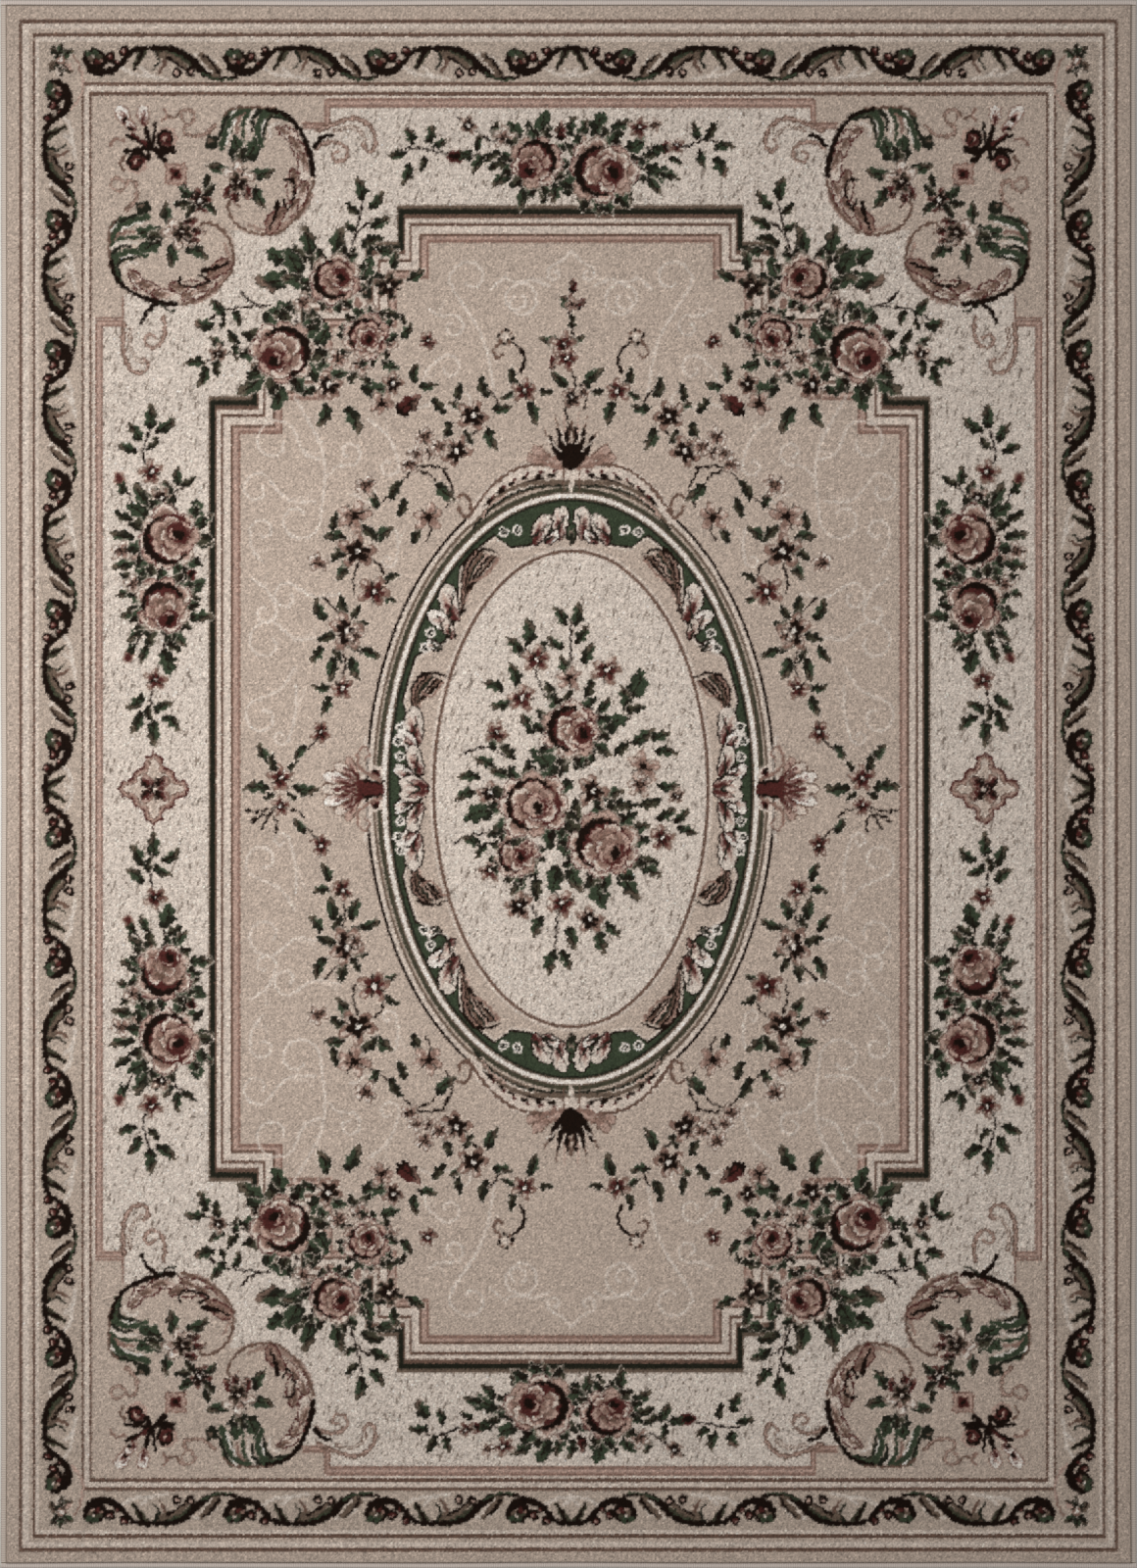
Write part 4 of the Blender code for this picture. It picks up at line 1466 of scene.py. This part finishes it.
def makeEdging(side, node, material):
    # The wound yarn: a C-shaped section carried along one edge, swelling with the wraps
    length = rug["length"] if side in ("left", "right") else rug["width"]
    count = int(length / edging["step"])
    half = rug["edgeHeight"] / 2
    slot = half - rug["edgeYarn"]
    slotEnd = rug["marginInset"] - 0.0003
    bm = bmesh.new()
    rings = []
    for i in range(count + 1):
        share = i / count
        wrapTurn = 2 * math.pi * share * length / edging["lump"]
        lift = edging["swell"] * (0.5 + 0.5 * math.cos(wrapTurn)) - 0.0002
        section = [(rug["edgeWidth"], 0.0)]
        for k in range(edging["round"] + 1):
            turn = math.pi * k / edging["round"]
            reach = half + lift * math.sin(turn)
            section.append((half - reach * math.sin(turn), half - half * math.cos(turn)))
        section.append((rug["edgeWidth"] - 0.0015, rug["edgeHeight"] + lift))
        section.append((rug["edgeWidth"], rug["edgeHeight"] - 0.0002))
        section += [(rug["edgeWidth"], half + slot), (slotEnd, half + slot)]
        section += [(slotEnd, half - slot), (rug["edgeWidth"], half - slot)]
        rings.append([bm.verts.new(edgePlace(side, share, inset, height)) for inset, height in section])
    for before, after in zip(rings, rings[1:]):
        for k in range(len(before)):
            following = (k + 1) % len(before)
            bm.faces.new((before[k], before[following], after[following], after[k]))
    bm.faces.new(rings[0])
    bm.faces.new(rings[-1][::-1])
    bmesh.ops.recalc_face_normals(bm, faces=bm.faces)
    name = "edging" + side.capitalize()
    mesh = bpy.data.meshes.new(name)
    bm.to_mesh(mesh)
    bm.free()
    mesh.shade_smooth()
    mesh.set_sharp_from_angle(angle=math.radians(60))
    mesh.materials.append(material)
    piece = bpy.data.objects.new(name, mesh)
    bpy.context.collection.objects.link(piece)
    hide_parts(node)
    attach(piece, "root")
    return piece


ground = {
    "footInset": 0.0088,
    "marginFoot": 0.0076,
    "recess": 0.0030,  # top of the woven ground, under the pile
    "stations": 60,
}


def makeGround(material):
    # The woven ground with its bare margin, one closed slab under the pile
    levels = (  # inset, height
        (ground["footInset"], 0.0),
        (ground["marginFoot"], rug["marginBottom"]),
        (rug["marginInset"], rug["marginBottom"]),
        (rug["marginInset"], rug["marginTop"]),
        (0.0072, rug["marginTop"]),
        (0.0080, ground["recess"]),
    )
    bm = bmesh.new()
    loops = []
    for inset, height in levels:
        halfX = rug["width"] / 2 - inset
        halfY = rug["length"] / 2 - inset
        loop = []
        for side in ("bottom", "right", "top", "left"):
            for i in range(ground["stations"]):
                run = 2 * i / ground["stations"] - 1
                if side in ("bottom", "top"):
                    x = run * halfX * (1 if side == "bottom" else -1)
                    y = (halfY - inward(side, x / rug["width"] + 0.5)) * (-1 if side == "bottom" else 1)
                else:
                    y = run * halfY * (1 if side == "right" else -1)
                    x = (halfX - inward(side, y / rug["length"] + 0.5)) * (1 if side == "right" else -1)
                loop.append(bm.verts.new((x, y, height)))
        loops.append(loop)
    for lower, upper in zip(loops, loops[1:]):
        for k in range(len(lower)):
            following = (k + 1) % len(lower)
            bm.faces.new((lower[k], lower[following], upper[following], upper[k]))
    bm.faces.new(loops[0][::-1])
    bm.faces.new(loops[-1])
    bmesh.ops.recalc_face_normals(bm, faces=bm.faces)
    mesh = bpy.data.meshes.new("rugGround")
    bm.to_mesh(mesh)
    bm.free()
    mesh.materials.append(material)
    piece = bpy.data.objects.new("rugGround", mesh)
    bpy.context.collection.objects.link(piece)
    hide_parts("rug_body")
    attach(piece, "root")
    return piece


studio = {
    "lens": 200.0,
    "cameraHeight": 12.28,
    "keyPlace": (-0.6, 0.2, 1.8),
    "keySize": 0.9,
    "keyPower": 22.0,
    "skyStrength": 0.40,
    "floorSize": 9.0,
    "floorColour": (0.80, 0.79, 0.77, 1),
}


def makeStudio():
    floorMesh = bpy.data.meshes.new("studioFloor")
    half = studio["floorSize"] / 2
    corners = [(-half, -half, -0.0004), (half, -half, -0.0004), (half, half, -0.0004), (-half, half, -0.0004)]
    floorMesh.from_pydata(corners, [], [(0, 1, 2, 3)])
    floorMaterial = bpy.data.materials.new("paleFloor")
    floorMaterial.use_nodes = True
    paint = floorMaterial.node_tree.nodes["Principled BSDF"]
    paint.inputs["Base Color"].default_value = studio["floorColour"]
    paint.inputs["Roughness"].default_value = 0.7
    floorMesh.materials.append(floorMaterial)
    floor = bpy.data.objects.new("studioFloor", floorMesh)
    bpy.context.collection.objects.link(floor)

    world = bpy.data.worlds.new("studioSky")
    world.use_nodes = True
    sky = world.node_tree.nodes["Background"]
    sky.inputs["Color"].default_value = (1.0, 0.995, 0.985, 1)
    sky.inputs["Strength"].default_value = studio["skyStrength"]
    scene = bpy.context.scene
    scene.world = world
    lamp = bpy.data.lights.new("softKey", "AREA")
    lamp.size = studio["keySize"]
    lamp.energy = studio["keyPower"]
    lamp.color = (1.0, 0.985, 0.96)
    key = bpy.data.objects.new("softKey", lamp)
    key.location = studio["keyPlace"]
    key.visible_camera = False
    bpy.context.collection.objects.link(key)

    cameraData = bpy.data.cameras.new("photoCamera")
    cameraData.lens = studio["lens"]
    cameraData.sensor_width = 36.0
    cameraData.clip_end = 100.0
    camera = bpy.data.objects.new("photoCamera", cameraData)
    camera.location = (0, 0, studio["cameraHeight"])
    bpy.context.collection.objects.link(camera)
    scene.camera = camera
    scene.view_settings.view_transform = "Standard"


chart = makeChart()
print("chart painted")
strips = makePile(chart, makePileMaterial())
print("pile set")
rugGround = makeGround(makeBackMaterial())
sideYarn = makeEdgeMaterial("edgeYarnSide", "Y", (0.76, 0.67, 0.59, 1), (0.46, 0.38, 0.33, 1))
# The end yarn is the side yarn painted lighter, to make up for the weaker light and the shade at the rug's
# ends
endYarnPaintedLighter = makeEdgeMaterial("edgeYarnEndPaintedLighter", "X", (0.84, 0.75, 0.69, 1), (0.52, 0.44, 0.40, 1))
edges = [
    makeEdging("left", "overcast_side_left", sideYarn),
    makeEdging("right", "overcast_side_right", sideYarn),
    makeEdging("top", "overcast_end_top", endYarnPaintedLighter),
    makeEdging("bottom", "overcast_end_bottom", endYarnPaintedLighter),
]
print("edges wound")
makeStudio()
print("studio lit")
